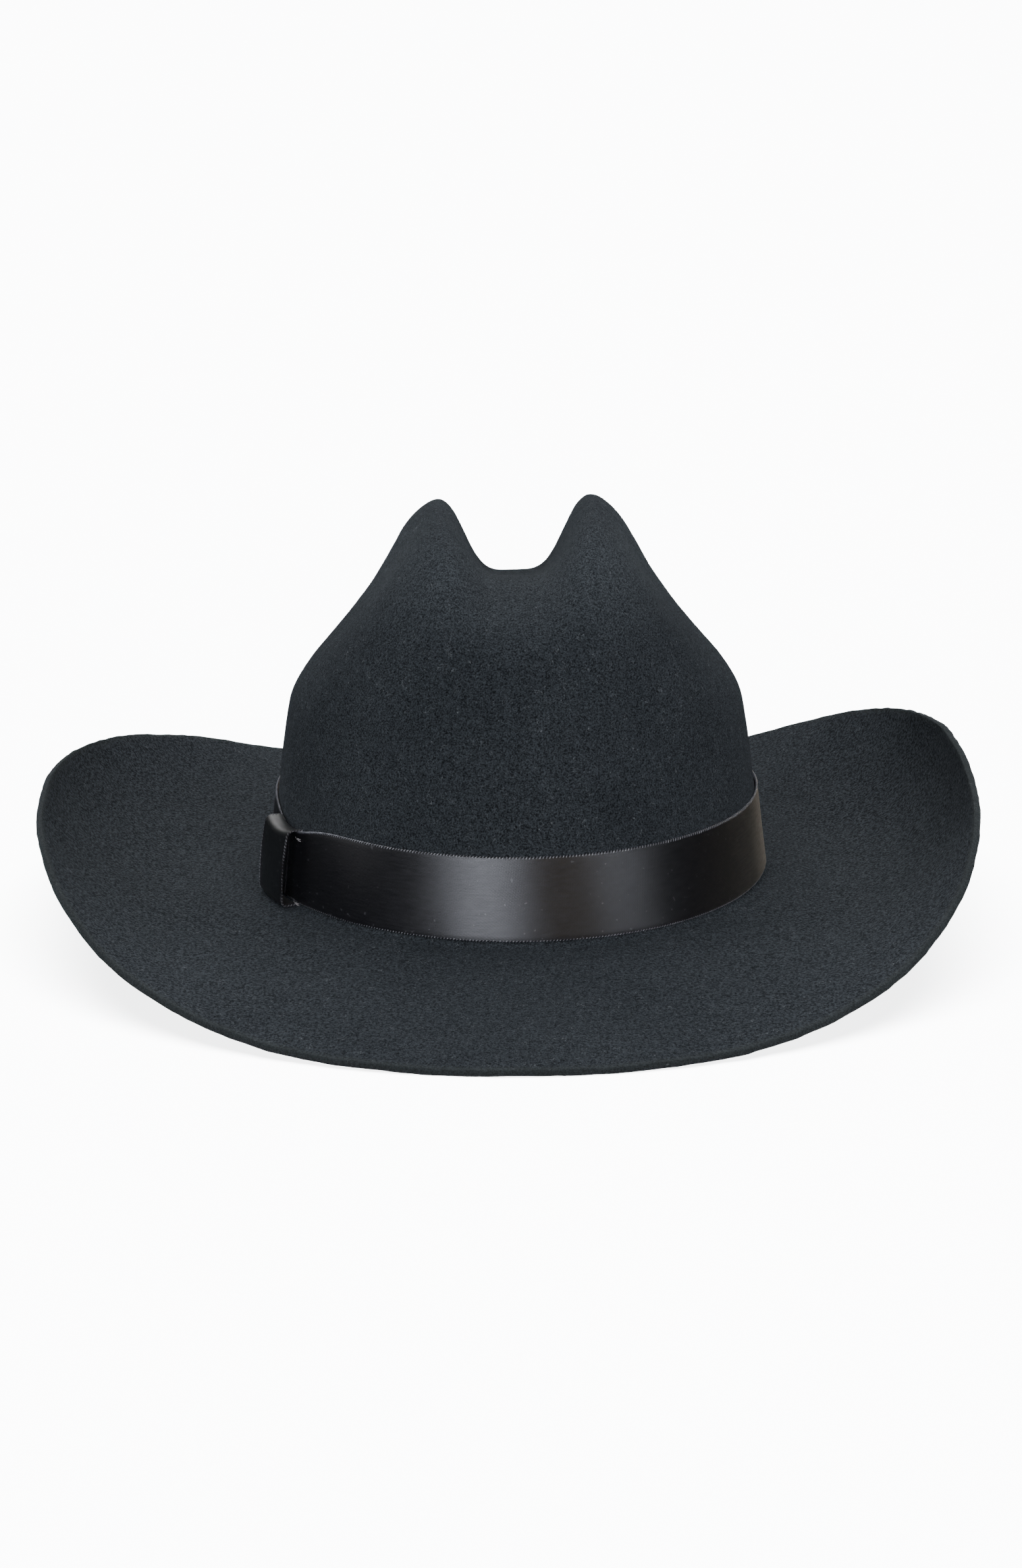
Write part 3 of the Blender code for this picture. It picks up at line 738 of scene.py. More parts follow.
def liner_look():
    """Dark satin lining with soft creases."""
    look = Look("liner_satin", {"Anisotropic": 0.4, "IOR": 1.48, "Sheen Weight": 0.1})
    weave, _ = satin(look, -28.0, 0.0, 0.008 * MM)
    creases = look.noise(11 * MM, 3.0, look.place(stretched=(1.0, 1.0, 0.35)), Distortion=0.6)
    # The creases also set the colour, lighter on their crests and darker in their hollows: painted
    # shade, over the bump that they give.
    tone = look.total(look.levels(weave, -0.6, 2.2, 0.0, 0.4), (creases, 0.6))
    look.set({"Base Color": look.mix(tone, (0.010, 0.0105, 0.013), (0.034, 0.035, 0.042))})
    look.set({"Roughness": look.levels(creases, 0.3, 0.7, 0.28, 0.38)})
    fine = look.shader.inputs["Normal"].links[0].from_socket
    look.set({"Normal": look.bump(creases, 0.5 * MM, fine)})
    return look


def film_look():
    """Clear vinyl, a little scuffed."""
    values = {"Transmission Weight": 0.92, "IOR": 1.46, "Base Color": (0.88, 0.90, 0.91, 1.0)}
    look = Look("clear_film", values)
    scuffs = look.noise(1.0, 3.0, look.place(stretched=(90.0, 700.0, 90.0)))
    look.set({"Roughness": look.levels(scuffs, 0.45, 0.75, 0.06, 0.24)})
    look.set({"Normal": look.bump(look.noise(14 * MM, 2.0), 0.4 * MM)})
    return look


# ---------------------------------------------------------------- felt


def felt_outer(angles):
    """Outer felt surface in rows: from the brim's edge in to the break, then up the crown."""
    edge = 1.0 - EDGE_ROUND / BRIM_WIDTH
    brim = brim_surface(angles, np.linspace(edge, BREAK_ROUND / BRIM_WIDTH, BRIM_RINGS))
    radii, heights = crown_profile(CROWN_RINGS)
    above = heights * CROWN_HEIGHT > 1.5 * BREAK_ROUND
    above[-1] = False  # the top is one point, added later
    crown = crown_surface(angles, radii[above][:, None], heights[above][:, None])
    wall_start = wall(angles, BREAK_ROUND, 0.0)
    corner = wall(angles, 0.0, 0.0)
    t = np.linspace(0.0, 1.0, 7)[1:, None, None]
    turn = (1 - t) ** 2 * brim[-1] + 2 * t * (1 - t) * corner + t**2 * wall_start
    return np.concatenate([brim, turn, crown])


def grid_normals(grid):
    """Normals of a grid of points whose rows are closed rings."""
    down = np.gradient(grid, axis=0)
    along = np.roll(grid, -1, axis=1) - np.roll(grid, 1, axis=1)
    return unit(np.cross(along, down))


def uneven(points, wavelength, share, seed):
    """A factor round 1 for each point, that varies by this share."""
    return (1.0 + share * ripple(points, wavelength, seed))[:, None]


def felt_body():
    """Crown and brim in one: outer surface, rounded cut edge and inner surface."""
    angles = full_turn(AROUND)
    outer = felt_outer(angles)
    normals = grid_normals(outer)
    if normals[0, 0, 2] < 0 and normals[0, AROUND // 4, 2] < 0:
        normals = -normals
    outer = outer + normals * waves_of(outer, FELT_WAVES, SEED["felt"])[..., None]
    inner = outer - normals * FELT
    edge_out = unit(outer[0] - outer[1])
    half = FELT / 2 * uneven(outer[0], *THICKNESS_WAVE, SEED["edge"])
    bulge = EDGE_ROUND * uneven(outer[0], *BULGE_WAVE, SEED["bulge"])
    middle = (outer[0] + inner[0]) / 2
    edge = []
    for turn in np.linspace(0.0, math.pi, EDGE_STEPS + 1)[1:-1]:
        across = normals[0] * half * squarer(math.cos(turn), EDGE_SQUARENESS)
        edge.append(middle + across + edge_out * bulge * squarer(math.sin(turn), EDGE_SQUARENESS))
    rows = np.concatenate([outer[::-1], np.array(edge), inner])
    shape = Shape()
    u = np.append(angles, TURN) * HALF_WIDTH
    numbers = shape.grid(rows, u, lengths(rows[:, 0]), wrap_columns=True)
    top = crown_surface(0.0, 0.0, 1.0)
    shape.fan(numbers[0], top)
    shape.fan(numbers[-1], top - FELT * UP)
    outside = numbers[: len(outer)]
    shape.mark("cut_edge", numbers[len(outer) - 1 : len(outer) + EDGE_STEPS], 1.0)
    away = np.abs(np.arange(len(outer))[::-1] - FINE_NAP_ROW)
    sideways = blend(COARSE_NAP_BACK, 1.0, np.abs(np.cos(angles)))
    coarse = smooth(away, *COARSE_NAP_AWAY)[:, None] * sideways
    shape.mark("coarse_nap", outside, coarse.ravel())
    # Painted highlight: a band round the upper crown where the felt's colour is made lighter,
    # standing in for the light that falls on the crease's lip.
    share = outer[::-1, :, 2] / CROWN_HEIGHT
    painted_highlight = smooth(share, *PAINTED_HIGHLIGHT_UP) * (1.0 - smooth(share, *PAINTED_HIGHLIGHT_END_UP))
    shape.mark("painted_highlight", outside, painted_highlight.ravel())
    body = shape.piece("felt_crown_and_brim", "wool_felt", "felt_body", sharp=80.0)
    return body, outer, normals


def felt_fibres(outer, normals):
    """Short curled fibres that stand out of the felt, each a thin closed tube."""
    along = np.linalg.norm(np.roll(outer, -1, axis=1) - outer, axis=2)
    down = np.linalg.norm(np.diff(outer, axis=0), axis=2)
    area = (along[:-1] * down).ravel()
    cells = RANDOM.choice(len(area), LINT_COUNT, p=area / area.sum())
    row, column = np.divmod(cells, outer.shape[1])
    shift = RANDOM.random((LINT_COUNT, 2))
    base = blend(outer[row, column], outer[row + 1, column], shift[:, :1])
    base = base + (outer[row, (column + 1) % AROUND] - outer[row, column]) * shift[:, 1:]
    normal = normals[row, column]
    side = unit(np.cross(normal, RANDOM.normal(size=(LINT_COUNT, 3))))
    other = np.cross(normal, side)
    length = RANDOM.uniform(*LINT_LENGTH, LINT_COUNT) * RANDOM.uniform(0.5, 1.0, LINT_COUNT)
    curl = RANDOM.normal(0.0, LINT_CURL, LINT_COUNT)
    lift = RANDOM.uniform(*LINT_LIFT, LINT_COUNT) * length
    s = np.linspace(0.0, 1.0, len(LINT_TAPER))
    bend = curl[:, None] * s
    nearly_straight = np.abs(curl) < 0.05
    curl = np.where(nearly_straight, 0.05, curl)[:, None]
    forward = np.sin(bend) / curl * length[:, None]
    sideways = (1 - np.cos(bend)) / curl * length[:, None]
    height = lift[:, None] * np.sin(s * math.pi * 0.8) + 0.02 * MM
    lines = base[:, None] + side[:, None] * forward[..., None]
    lines = lines + other[:, None] * sideways[..., None] + normal[:, None] * height[..., None]
    direction = unit(np.gradient(lines, axis=1))
    first = unit(np.cross(direction, normal[:, None]))
    second = np.cross(direction, first)
    taper = LINT_RADIUS * np.array(LINT_TAPER)[:, None, None]
    turn = np.radians([90.0, 210.0, 330.0])[:, None]
    ring = first[:, :, None] * np.cos(turn) + second[:, :, None] * np.sin(turn)
    shape = Shape()
    u = np.linspace(0.0, 0.1 * MM, 4)
    v = np.linspace(0.0, 1.5 * MM, len(LINT_TAPER))
    for fibre in lines[:, :, None] + taper * ring:
        numbers = shape.grid(fibre, u, v, wrap_columns=True)
        shape.cap(numbers[0], numbers[-1])
    return shape.piece("felt_fibres", "wool_felt", look="felt_fibre")


# ---------------------------------------------------------------- ribbon


def band_level(angle, height):
    """A height on the band, lower and gathered near the keeper."""
    from_keeper = np.abs(angle % TURN - math.radians(KEEPER_ANGLE))
    from_keeper = np.minimum(from_keeper, TURN - from_keeper)
    near = np.exp(-((from_keeper / KEEPER_REACH) ** 2))
    above = (height - BAND_BOTTOM) * (1.0 - BAND_GATHER * near)
    return BAND_BOTTOM - BAND_DIP * near + above


def away_from(angles):
    """Level directions straight out of the crown's wall."""
    return xyz(*oval_normal(angles), 0.0)


def swept(shape, outs, heights, angles, waves=(), seed="band", turned=False, level=None):
    """Carries an outline of (out, height) points round the crown's wall, and returns the length
    and the numbers of the points. level(angle, height) may change the heights on the way."""
    raised = level(angles[None, :], heights[:, None]) if level else heights[:, None]
    grid = wall(angles[None, :], raised, outs[:, None])
    if waves:
        grid = grid + away_from(angles) * waves_of(grid, waves, SEED[seed])[..., None]
    v = lengths(np.stack([outs, heights], axis=1), closed=True)
    u = lengths(grid[0])
    numbers = shape.grid(grid, u, v, wrap_rows=True, turned=turned)
    shape.cap(numbers[:, 0], numbers[:, -1])
    return float(u[-1]), numbers


def whipped_edge(line, upward, outward, reach):
    """A thread wound round an edge: line is the edge, reach is how far it goes out and up."""
    fine = evenly(line, EDGE_PITCH / 8)
    length = lengths(line)
    even = lengths(fine)
    turn = even / EDGE_PITCH * TURN
    wander = 1.0 + 0.10 * ripple(fine, 6 * MM, SEED["whipping"])
    up = interpolated(even, length, upward) * (reach[1] * wander * np.sin(turn))[:, None]
    out = interpolated(even, length, outward) * (reach[0] * wander * np.cos(turn))[:, None]
    return fine + out + up


def hatband():
    """The ribbon round the crown, and the thread whipped round its two long edges."""
    angles = open_ring(KEEPER_ANGLE, BAND_END_GAP, 0.0, 720)
    outer = BAND_GAP + RIBBON
    top = BAND_BOTTOM + RIBBON_WIDTH
    outline = strip_outline(outer, RIBBON, BAND_BOTTOM, top, 18)
    shape = Shape()
    length, _ = swept(shape, *outline, angles, waves=BAND_WAVES, level=band_level)
    band = shape.piece("satin_band", "ribbon_satin", "hatband")

    outward = away_from(angles)
    upward = np.tile(UP, (len(angles), 1))
    top_edge = (top - TOP_EDGE_INSET, TOP_EDGE_REACH)
    lower_edge = (BAND_BOTTOM + EDGE_INSET, LOWER_EDGE_REACH)
    edges = Shape()
    for height, reach in (top_edge, lower_edge):
        line = wall(angles, band_level(angles, height), outer - RIBBON / 2)
        line = line + outward * waves_of(line, BAND_WAVES, SEED["band"])[:, None]
        edges.tube(whipped_edge(line, upward, outward, reach), EDGE_THREAD, 5)
    thread = edges.piece("hatband_edge_thread", "ribbon_satin", look="ribbon_edge_thread")
    return [band, thread]


def keeper_path():
    """The keeper's loop: over the band's top edge, down its face and under its bottom edge."""
    reach = KEEPER_STANDOFF - KEEPER_CORNER
    upper, lower = KEEPER_TOP - KEEPER_CORNER, KEEPER_BOTTOM + KEEPER_CORNER
    parts = [[(KEEPER_START[0], KEEPER_TOP + KEEPER_START[1]), (reach / 2, KEEPER_TOP)]]
    parts.append(arc((reach, upper), KEEPER_CORNER, 90, 0, 8))
    for share in (0.2, 0.4, 0.6, 0.8):
        height = blend(upper, lower, share)
        parts.append([(KEEPER_STANDOFF + KEEPER_BULGE * math.sin(math.pi * share), height)])
    parts.append(arc((reach, lower), KEEPER_CORNER, 0, -90, 8))
    end = (KEEPER_END[0], KEEPER_BOTTOM + KEEPER_END[1])
    parts.append([(reach / 2, KEEPER_BOTTOM + 0.15 * MM), end])
    return evenly(np.concatenate([np.array(part) for part in parts]), 0.6 * MM)


def keeper():
    """The ribbon loop over the meeting ends of the band."""
    path = keeper_path()
    outline = thickened(path, RIBBON * 0.8)
    angles = stretch(KEEPER_ANGLE, KEEPER_WIDTH, 0.0, 40)
    shape = Shape()
    drape = {"waves": KEEPER_WAVES, "seed": "keeper", "turned": True, "level": band_level}
    _, numbers = swept(shape, *outline, angles, **drape)
    shape.mark("inside", numbers[len(path) :], 1.0)
    loop = shape.piece("satin_keeper_loop", "ribbon_satin", "ribbon_keeper")

    edges = Shape()
    for angle, inward in ((angles[0], 1.0), (angles[-1], -1.0)):
        inset = inward * turn_for(EDGE_INSET, angle)
        line = wall(angle + inset, band_level(angle, path[:, 1]), path[:, 0])
        out = away_from(angle)
        along = np.array([-out[1], out[0], 0.0])
        face = unit(np.cross(np.gradient(line, axis=0), along))
        face = face * np.sign(face[len(face) // 2] @ out)
        sideways = np.tile(along, (len(path), 1))
        edges.tube(whipped_edge(line, sideways, face, LOWER_EDGE_REACH), EDGE_THREAD * 0.8, 5)
    thread = edges.piece("keeper_edge_thread", "ribbon_satin", look="ribbon_edge_thread")
    return [loop, thread]


def tack(name):
    """A short bar of hand stitches in its CAD box: three strands over each other, and a tail."""
    low, high = (np.array(corner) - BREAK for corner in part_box(name))
    middle, size = (low + high) / 2, high - low
    along = unit(np.array([math.copysign(size[0], middle[0]), size[1], 0.0]))
    out = unit(np.array([middle[0] / HALF_WIDTH**2, middle[1] / HALF_LENGTH**2, 0.0]))
    reach = float(np.hypot(size[0], size[1])) / 2
    shape = Shape()
    for strand, (drop, tilt) in enumerate(((-0.22, 0.25), (0.05, -0.2), (0.27, 0.1))):
        s = np.linspace(-1.0, 1.0, 9)[:, None]
        line = middle + along * s * reach * (1.0 - 0.12 * strand)
        line = line + UP * MM * (drop + tilt * s) - out * 0.25 * MM * s**2
        shape.tube(line, TACK_THREAD * np.sqrt(1.04 - s[:, 0] ** 2), 6)
    tail = np.linspace(0.0, 1.0, 6)[:, None]
    line = middle + along * reach * (0.5 + 0.5 * tail) + UP * MM * (0.9 * tail**2)
    shape.tube(line + out * 0.3 * MM * tail, TACK_THREAD * 0.45, 5)
    return shape.piece(name + "_stitches", "tack_thread", name)


# ---------------------------------------------------------------- sweatband


def stitch(shape, start, end, sink, radius=THREAD_RADIUS):
    """One stitch: a thread that rises out of the material, crosses it and goes back in."""
    s = np.linspace(0.0, 1.0, 8)[:, None]
    line = blend(start, end, s) + sink * (2 * s - 1) ** 4
    shape.tube(line, radius, 6)


def running_stitches(line):
    """The start and the end of each stitch of a seam along this line."""
    line = evenly(line, STITCH_LENGTH + STITCH_GAP)
    share = STITCH_LENGTH / (STITCH_LENGTH + STITCH_GAP)
    return [(start, blend(start, end, share)) for start, end in zip(line, line[1:])]


def sweatband():
    """The leather strip, its reed in a folded tape, and the seam that joins them."""
    angles = open_ring(BACK_ANGLE, SWEATBAND_GAP, LEATHER_OUT, 300)
    outline = strip_outline(LEATHER_OUT, LEATHER, SWEATBAND_BOTTOM, SWEATBAND_TOP, 16)
    shape = Shape()
    length, _ = swept(shape, *outline, angles, waves=LEATHER_WAVES, seed="leather")
    band = shape.piece("leather_sweatband", "sweatband_leather", "sweatband")

    seam = Shape()
    for start, end in running_stitches(wall(angles, SEAM_HEIGHT, THREAD_OUT)):
        stitch(seam, start, end, unit(start * np.array([1.0, 1.0, 0.0])) * STITCH_SINK)
    thread = seam.piece("sweatband_seam_stitches", "seam_thread", "sweatband_seam_thread")

    reed = Shape()
    ring = open_ring(BACK_ANGLE, REED_GAP, REED_OUT, 300)
    reed.tube(wall(ring, REED_HEIGHT, REED_OUT), REED_RADIUS, 14)
    reed.piece("plastic_reed", "reed_plastic", "sweatband_reed")

    flange = REED_OUT + TAPE_ARC
    path = np.array([(flange, TAPE_TOP), (flange, REED_HEIGHT + 0.5 * MM)])
    path = np.concatenate([path, arc((REED_OUT, REED_HEIGHT), TAPE_ARC, 0, -250, 20)])
    path = evenly(path, 0.5 * MM)
    tape = Shape()
    swept(tape, *thickened(path, TAPE), angles)
    fold = tape.piece("folded_reed_tape", "woven_tape", "reed_tape")


def sweatband_joint():
    """The joint at the back: a tape behind it and a zigzag of thread across it."""
    outline = strip_outline(JOINT_TAPE_OUT, JOINT_TAPE, *JOINT_TAPE_HEIGHTS, 14)
    angles = stretch(BACK_ANGLE, JOINT_TAPE_WIDTH, JOINT_TAPE_OUT, 16)
    shape = Shape()
    swept(shape, *outline, angles)
    tape = shape.piece("woven_joint_tape", "woven_tape", "sweatband_joint_tape")

    half = turn_for(ZIGZAG_WIDTH / 2, math.radians(BACK_ANGLE), THREAD_OUT)
    levels = np.linspace(*ZIGZAG_HEIGHTS, ZIGZAG_TURNS + 1)
    sides = np.where(np.arange(ZIGZAG_TURNS + 1) % 2, half, -half)
    corners = wall(math.radians(BACK_ANGLE) + sides, levels, THREAD_OUT)
    zigzag = Shape()
    for start, end in zip(corners, corners[1:]):
        stitch(zigzag, start, end, away_from(math.radians(BACK_ANGLE)) * STITCH_SINK)
    thread = zigzag.piece("sweatband_joint_stitches", "seam_thread", "sweatband_joint_thread")


def size_label():
    """A blank woven label, its lower half tucked behind the sweatband."""
    outs, heights = strip_outline(LABEL_OUT, LABEL, *LABEL_HEIGHTS, 14)
    outs = outs - LABEL_LEAN * smooth(heights, SWEATBAND_TOP, LABEL_HEIGHTS[1])
    angles = stretch(LABEL_ANGLE, LABEL_WIDTH, LABEL_OUT, 24)
    shape = Shape()
    swept(shape, outs, heights, angles, waves=LABEL_WAVES, seed="label")
    label = shape.piece("blank_size_label", "label_weave", "size_label")


def bow_loop(shape, side):
    """One loop of narrow ribbon, gathered where it goes into the knot."""
    length, opening = BOW_LOOP
    t = full_turn(48)
    across = np.linspace(-0.5, 0.5, 11)
    full = np.sin(t / 2) ** 1.2
    width = BOW_RIBBON_WIDTH * (0.55 + 0.45 * full)
    folds = 0.28 * MM * (1 - full)[:, None] * np.cos(3 * math.pi * across)
    droop = -0.9 * MM * full[:, None]
    layers = []
    for layer in (-1.0, 1.0):
        spread = opening * np.sin(t) + layer * BOW_RIBBON / 2 * np.cos(t)
        out = length * (1 - np.cos(t)) / 2 + layer * BOW_RIBBON / 2 * np.sin(t)
        x = side * (out[:, None] + 0 * across)
        y = spread[:, None] + folds
        z = width[:, None] * across + droop
        layers.append(xyz(x, y, z))
    grid = np.concatenate([layers[0], layers[1][:, ::-1]], axis=1)
    u = np.concatenate([across, across[-1] + across - across[0], [1.5]]) * BOW_RIBBON_WIDTH
    v = np.linspace(0.0, 2 * length, len(t) + 1)
    shape.grid(grid + BOW_PLACE, u, v, wrap_rows=True, wrap_columns=True, turned=True)


def bow_knot(shape):
    """The knot: ribbon wrapped round the middle, with a few ridges along it."""
    turn = full_turn(40)
    across = np.linspace(-1.0, 1.0, 17)
    swell = (1.0 - 0.45 * across**6)[:, None]
    ridges = (1.0 + 0.05 * np.cos(5 * math.pi * across))[:, None]
    x = 0.5 * BOW_KNOT[0] * across[:, None] * np.ones_like(turn)
    y = 0.5 * BOW_KNOT[1] * swell * ridges * squarer(np.cos(turn), 0.7)
    z = 0.5 * BOW_KNOT[2] * swell * ridges * squarer(np.sin(turn), 0.7)
    u = np.linspace(0.0, BOW_KNOT[1] + BOW_KNOT[2], len(turn) + 1) * 1.5
    v = across * BOW_KNOT[0] / 2
    numbers = shape.grid(xyz(x, y, z) + BOW_PLACE, u, v, wrap_columns=True)
    shape.cap(numbers[0], numbers[-1])


def sweatband_bow():
    """The small bow that covers the joint."""
    shape = Shape()
    bow_loop(shape, -1)
    bow_loop(shape, 1)
    bow_knot(shape)
    shape.piece("tied_ribbon_bow", "ribbon_satin", "sweatband_bow")


BOW_PLACE = wall(math.radians(BACK_ANGLE), BOW_HEIGHT, BOW_OUT)


# ---------------------------------------------------------------- liner


def liner_out(height):
    """How far the liner's outer face hangs from the felt's outer surface."""
    return LINER_OUT - LINER_LEAN * np.maximum(height - LINER_LEAN_FROM, 0.0)


def liner_side():
    """The lining's side: smooth behind the sweatband, in soft pleats above it."""
    face = np.linspace(LINER_BOTTOM, LINER_TOP, 26)
    heights = np.concatenate([face, face[::-1]])
    angles = full_turn(528)
    outs = np.concatenate([liner_out(face), liner_out(face[::-1]) - LINER])
    foot = wall(angles, 0.0, 0.0)
    phase = PLEAT_WANDER[1] * ripple(foot, PLEAT_WANDER[0], SEED["pleats"]) + LINER_PLEATS * angles
    pleat = PLEAT_DEPTH * (0.5 + 0.5 * np.sin(phase)) ** 2
    outs = outs[:, None] - smooth(heights, SWEATBAND_TOP, LINER_TOP)[:, None] * pleat
    grid = wall(angles[None, :], heights[:, None], outs)
    shape = Shape()
    u = lengths(grid[0], closed=True)
    v = lengths(grid[:, 0], closed=True)
    shape.grid(grid, u, v, wrap_rows=True, wrap_columns=True, turned=True)
    side = shape.piece("pleated_liner_side", "liner_satin", "liner_side")


def dome(outline, base, rise, thickness, rings, puckers=0.0):
    """A thin shallow dome over an oval outline; its lower edge is at height base."""
    shares = 1.0 - np.arange(rings)[:, None] / rings
    turns = full_turn(len(outline))
    lift = puckers * smooth(shares, 0.72, 1.0) * np.sin(TIP_PUCKERS * turns)
    layers = []
    for up in (0.0, thickness):
        height = base + up + rise * (1.0 - shares**2) + lift
        layers.append(xyz(outline[:, 0] * shares, outline[:, 1] * shares, height))
    rows = np.concatenate([layers[0][::-1], layers[1]])
    shape = Shape()
    u = lengths(outline, closed=True)
    numbers = shape.grid(rows, u, lengths(rows[:, 0]), wrap_columns=True)
    shape.fan(numbers[0], (0.0, 0.0, base + rise))
    shape.fan(numbers[-1], (0.0, 0.0, base + rise + thickness))
    return shape


def liner_tip():
    """The lining's top panel, the clear guard under it and the guard's stitches."""
    turns = full_turn(300)
    base = LINER_TOP + TIP_GAP
    outline = wall(turns, base, liner_out(base) - TIP_GAP)[:, :2]
    panel = dome(outline, base, TIP_DOME, LINER, 26, PUCKER_DEPTH)
    tip = panel.piece("domed_liner_tip", "liner_satin", "liner_tip")

    share = GUARD_SIZE[1] / outline[:, 1].max()
    rise = TIP_DOME * share**2
    guard_base = base + TIP_DOME * (1.0 - share**2) - GUARD - GUARD_DROP
    guard_outline = circle(turns) * GUARD_SIZE
    patch = dome(guard_outline, guard_base, rise, GUARD, 12)
    guard = patch.piece("clear_sweat_guard", "clear_film", "liner_sweat_guard")
    hem = Shape()
    inset = 1.0 - GUARD_HEM / GUARD_SIZE[0]
    height = guard_base + rise * (1.0 - inset**2) - 0.12 * MM
    line = np.column_stack([guard_outline * inset, np.full(len(turns), height)])
    for start, end in running_stitches(np.concatenate([line, line[:1]])):
        stitch(hem, start, end, UP * 0.3 * MM, THREAD_RADIUS * 0.8)
    stitches = hem.piece("sweat_guard_stitches", "seam_thread")


# ---------------------------------------------------------------- studio


CAMERA_ELEVATION = 14.085
CAMERA_AZIMUTH = -0.692
CAMERA_ROLL = -0.404
CAMERA_DISTANCE = 1.5
CAMERA_AIM = 40 * MM  # height of the aimed point above the break
CAMERA_LENS = 97.43
CAMERA_SHIFT = (-0.00345, -0.01945)

FLOOR_RADIUS = 14.0
FLOOR_COLOUR = (0.80, 0.81, 0.82)
FLOOR_GLOW = 13.0  # brightness of the lit floor and of the backdrop behind it
FLOOR_LIGHT = 48.0
FLOOR_SHADOW = 0.25  # share of the floor's light that the hat shades
# Brightness of the soft room light by height of direction, from straight down to straight up
ROOM_LIGHT = ((0.0, 0.42), (0.30, 0.22), (0.42, 0.03), (0.55, 0.025), (0.68, 0.26), (1.0, 0.5))
TOP_LIGHT = 2.55
SATIN_TOP_LIGHT = 2.0
TOP_LIGHT_ANGLE = 60.0
TOP_LIGHT_TILT = (-42.0, 0.0)  # it comes from above and in front of the hat
# Soft lamps: azimuth from the back of the hat, elevation, distance, width, height, power, colour
# and what they light
SOFT_LAMPS = {
    "ribbon_lamp_left": (-19.5, 8.0, 1.6, 0.82, 1.3, 48.0, (0.87, 0.90, 1.0), "satin_only"),
    "ribbon_lamp_right": (50.5, 8.0, 1.6, 0.14, 1.3, 14.4, (0.87, 0.90, 1.0), "satin_only"),
    "warm_card": (24.0, 8.0, 1.6, 0.26, 1.3, 2.6, (1.0, 0.72, 0.40), "satin_only"),
    "far_lamp_left": (-95.0, 4.0, 1.6, 0.8, 1.0, 4.6, (0.95, 0.95, 1.0), "satin_only"),
    "far_lamp_right": (139.0, -4.0, 1.6, 0.8, 0.8, 27.0, (1.0, 0.88, 0.72), "satin_only"),
    "felt_fill": (0.0, 14.0, 2.2, 2.0, 1.4, 42.0, (0.94, 0.965, 1.0), "felt_only"),
    "felt_left": (-85.0, 20.0, 2.2, 1.4, 1.4, 24.0, (0.94, 0.965, 1.0), "felt_only"),
    "felt_right": (85.0, 20.0, 2.2, 1.4, 1.4, 24.0, (0.94, 0.965, 1.0), "felt_only"),
    "felt_high": (0.0, 52.0, 2.2, 2.0, 1.4, 18.0, (0.94, 0.965, 1.0), "felt_only"),
}


def plain_look(name, colour):
    look = Look(name, {"Roughness": 0.9, "Specular IOR Level": 0.2})
    uneven = look.noise(0.9, 2.0)
    shade = tuple(0.97 * c for c in colour)
    look.set({"Base Color": look.mix(uneven, shade, colour)})
    return look


def staged(name, material, build, shades=True, **facts):
    """A piece of the studio that throws no light on the hat, made by build."""
    bm = bmesh.new()
    build(bm, radius=FLOOR_RADIUS, **facts)
    mesh = bpy.data.meshes.new(name)
    bm.to_mesh(mesh)
    bm.free()
    mesh.materials.append(material)
    obj = bpy.data.objects.new(name, mesh)
    obj.visible_glossy = obj.visible_diffuse = False
    obj.visible_shadow = shades
    bpy.context.scene.collection.objects.link(obj)
    return obj


def glow_look():
    """Evenly lit backdrop paper."""
    made = bpy.data.materials.new("studio_backdrop")
    made.use_nodes = True
    nodes = made.node_tree.nodes
    nodes.remove(nodes["Principled BSDF"])
    glow = nodes.new("ShaderNodeEmission")
    glow.inputs["Color"].default_value = (*FLOOR_COLOUR, 1.0)
    glow.inputs["Strength"].default_value = FLOOR_GLOW / FLOOR_COLOUR[0]
    made.node_tree.links.new(glow.outputs[0], nodes["Material Output"].inputs["Surface"])
    return made


def room_light():
    """Soft light from all round, dimmest at the horizon."""
    world = bpy.data.worlds.new("studio")
    world.use_nodes = True
    nodes, links = world.node_tree.nodes, world.node_tree.links
    direction = nodes.new("ShaderNodeTexCoord")
    parts = nodes.new("ShaderNodeSeparateXYZ")
    links.new(direction.outputs["Generated"], parts.inputs["Vector"])
    height = nodes.new("ShaderNodeMapRange")
    height.inputs["From Min"].default_value = -1.0
    links.new(parts.outputs["Z"], height.inputs["Value"])
    ramp = nodes.new("ShaderNodeValToRGB")
    links.new(height.outputs["Result"], ramp.inputs["Fac"])
    stops = ramp.color_ramp.elements
    while len(stops) < len(ROOM_LIGHT):
        stops.new(0.5)
    for stop, (place, bright) in zip(stops, ROOM_LIGHT):
        stop.position = place
        stop.color = (0.94 * bright, 0.97 * bright, bright, 1.0)
    links.new(ramp.outputs["Color"], nodes["Background"].inputs["Color"])
    bpy.context.scene.world = world


def lamp(name, kind, energy, colour=(1.0, 1.0, 1.0), **settings):
    light = bpy.data.lights.new(name, kind)
    light.energy = energy
    light.color = colour
    for key, value in settings.items():
        setattr(light, key, value)
    made = bpy.data.objects.new(name, light)
    made.visible_camera = False
    bpy.context.scene.collection.objects.link(made)
    return made


def towards(azimuth, elevation):
    """Direction of a place seen from the hat: azimuth 0 is behind it, 90 is on its right."""
    a, e = math.radians(azimuth), math.radians(elevation)
    return Vector((math.sin(a) * math.cos(e), -math.cos(a) * math.cos(e), math.sin(e)))


def only(name, objects):
    """A collection of what one lamp lights, or of what shades it."""
    receivers = bpy.data.collections.new(name)
    for obj in objects:
        receivers.objects.link(obj)
    return receivers


